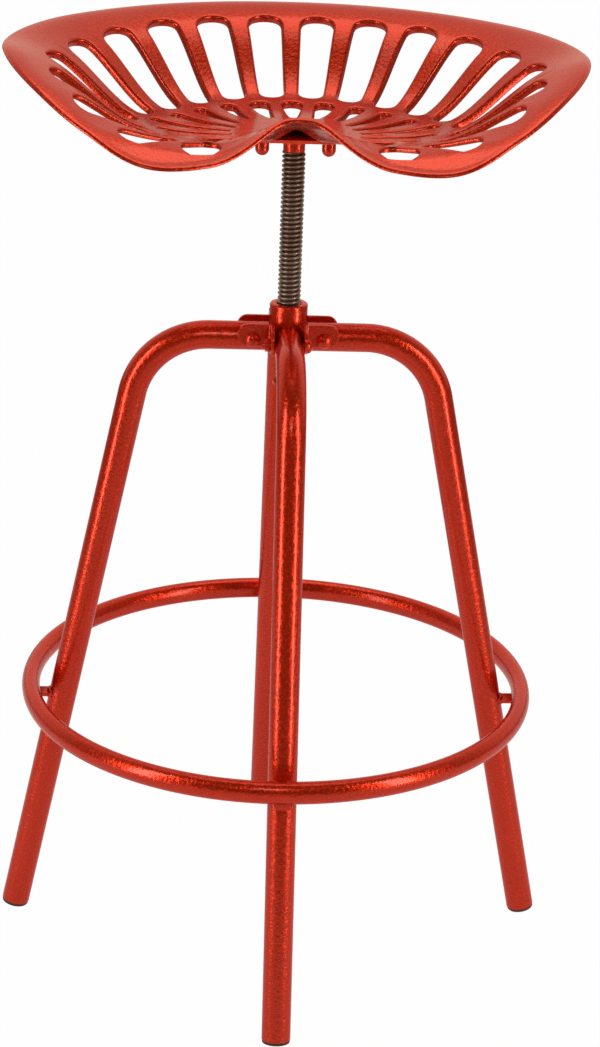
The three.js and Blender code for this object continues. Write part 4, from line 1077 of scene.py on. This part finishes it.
def make_floor():
    """A pale floor: the camera sees it white but for the shadow, and gloss sees a white pool on it."""
    bm = bmesh.new()
    bmesh.ops.create_grid(bm, x_segments=1, y_segments=1, size=FLOOR_HALF)
    mesh = bpy.data.meshes.new("floor")
    bm.to_mesh(mesh)
    bm.free()
    made, nodes, links, shader = material("floor")
    shader.inputs["Base Color"].default_value = (0.85, 0.85, 0.85, 1)
    shader.inputs["Roughness"].default_value = 0.9
    shader.inputs["Specular IOR Level"].default_value = 0.1
    away = add(nodes, "ShaderNodeVectorMath", operation="DISTANCE")
    links.new(nodes.new("ShaderNodeTexCoord").outputs["Object"], away.inputs[0])
    away.inputs[1].default_value = POOL_MIDDLE
    pool = spread(nodes, links, away.outputs["Value"], *POOL_REACH, FLOOR_WHITE, 0.0)
    path = nodes.new("ShaderNodeLightPath")
    seen = add(nodes, "ShaderNodeMath", operation="MULTIPLY")
    links.new(greatest(nodes, links, path.outputs["Is Glossy Ray"], path.outputs["Is Transmission Ray"]),
              seen.inputs[0])
    links.new(pool, seen.inputs[1])
    camera = add(nodes, "ShaderNodeMath", operation="MULTIPLY")
    links.new(path.outputs["Is Camera Ray"], camera.inputs[0])
    camera.inputs[1].default_value = BACKDROP_WHITE
    share = greatest(nodes, links, seen.outputs["Value"], camera.outputs["Value"])
    white = nodes.new("ShaderNodeEmission")
    blend = nodes.new("ShaderNodeMixShader")
    links.new(share, blend.inputs["Fac"])
    links.new(shader.outputs["BSDF"], blend.inputs[1])
    links.new(white.outputs["Emission"], blend.inputs[2])
    links.new(blend.outputs["Shader"], nodes["Material Output"].inputs["Surface"])
    mesh.materials.append(made)
    floor = bpy.data.objects.new("floor", mesh)
    bpy.context.scene.collection.objects.link(floor)


def make_world():
    """White surroundings for the camera, softer for light, and dark on the photographer's side."""
    world = bpy.data.worlds.new("studio")
    bpy.context.scene.world = world
    world.use_nodes = True
    nodes, links = world.node_tree.nodes, world.node_tree.links
    nodes.clear()
    way = nodes.new("ShaderNodeTexCoord").outputs["Generated"]
    facing = add(nodes, "ShaderNodeVectorMath", operation="DOT_PRODUCT")
    facing.inputs[1].default_value = (math.sin(AZIMUTH), -math.cos(AZIMUTH), 0)
    links.new(way, facing.inputs[0])
    shade = ramp(nodes, links, spread(nodes, links, facing.outputs["Value"], -1, 1, 0, 1), WORLD_SHADES)
    path = nodes.new("ShaderNodeLightPath")
    lighting, mirrored, white = (nodes.new("ShaderNodeBackground") for _ in range(3))
    links.new(shade.outputs["Color"], lighting.inputs["Color"])
    lighting.inputs["Strength"].default_value = WORLD_LEVEL
    links.new(shade.outputs["Color"], mirrored.inputs["Color"])
    mirrored.inputs["Strength"].default_value = 1
    white.inputs["Color"].default_value = (1, 1, 1, 1)
    gloss = nodes.new("ShaderNodeMixShader")
    links.new(greatest(nodes, links, path.outputs["Is Glossy Ray"], path.outputs["Is Transmission Ray"]),
              gloss.inputs["Fac"])
    links.new(lighting.outputs["Background"], gloss.inputs[1])
    links.new(mirrored.outputs["Background"], gloss.inputs[2])
    blend = nodes.new("ShaderNodeMixShader")
    links.new(path.outputs["Is Camera Ray"], blend.inputs["Fac"])
    links.new(gloss.outputs["Shader"], blend.inputs[1])
    links.new(white.outputs["Background"], blend.inputs[2])
    out = nodes.new("ShaderNodeOutputWorld")
    links.new(blend.outputs["Shader"], out.inputs["Surface"])


def softbox(name, turn, distance, height, size, watts, aim_height):
    """A rectangular lamp at an angle from the camera's side, aimed at a height on the stool's axis."""
    angle = AZIMUTH + math.radians(turn)
    at = Vector((distance * math.sin(angle), -distance * math.cos(angle), height))
    data = bpy.data.lights.new(name, "AREA")
    data.shape = "RECTANGLE"
    data.size, data.size_y = size
    data.energy = watts
    data.color = LAMP_COLOUR
    lamp = bpy.data.objects.new(name, data)
    aim = (at - Vector((0, 0, aim_height))).to_track_quat("Z", "Y")
    lamp.matrix_world = Matrix.Translation(at) @ aim.to_matrix().to_4x4()
    bpy.context.scene.collection.objects.link(lamp)


LAMP_COLOUR = (1, 0.93, 0.82)
WORLD_LEVEL = 0.45
WORLD_SHADES = [  # from behind the stool to behind the camera
    (0.0, (1, 0.88, 0.76)), (0.3, (0.75, 0.65, 0.55)), (0.5, (0.25, 0.21, 0.18)),
    (0.7, (0.08, 0.07, 0.06)), (1.0, (0.05, 0.04, 0.03)),
]
FLOOR_HALF, FLOOR_WHITE, BACKDROP_WHITE = 30, 0.5, 0.985
POOL_MIDDLE, POOL_REACH = (0, 0.9, 0), (1.1, 1.9)
make_floor()
make_world()
softbox("softbox_left", -54, 1.9, 0.95, (0.40, 1.9), 20, 0.75)
softbox("softbox_right", 54, 1.9, 0.95, (0.40, 1.9), 20, 0.75)
softbox("softbox_top", 180, 0.3, 2.4, (1.5, 1.2), 11, 0.8)
softbox("softbox_front", 0, 2.0, 1.6, (0.4, 0.4), 4, 0.75)
bpy.context.scene.view_settings.view_transform = "Standard"
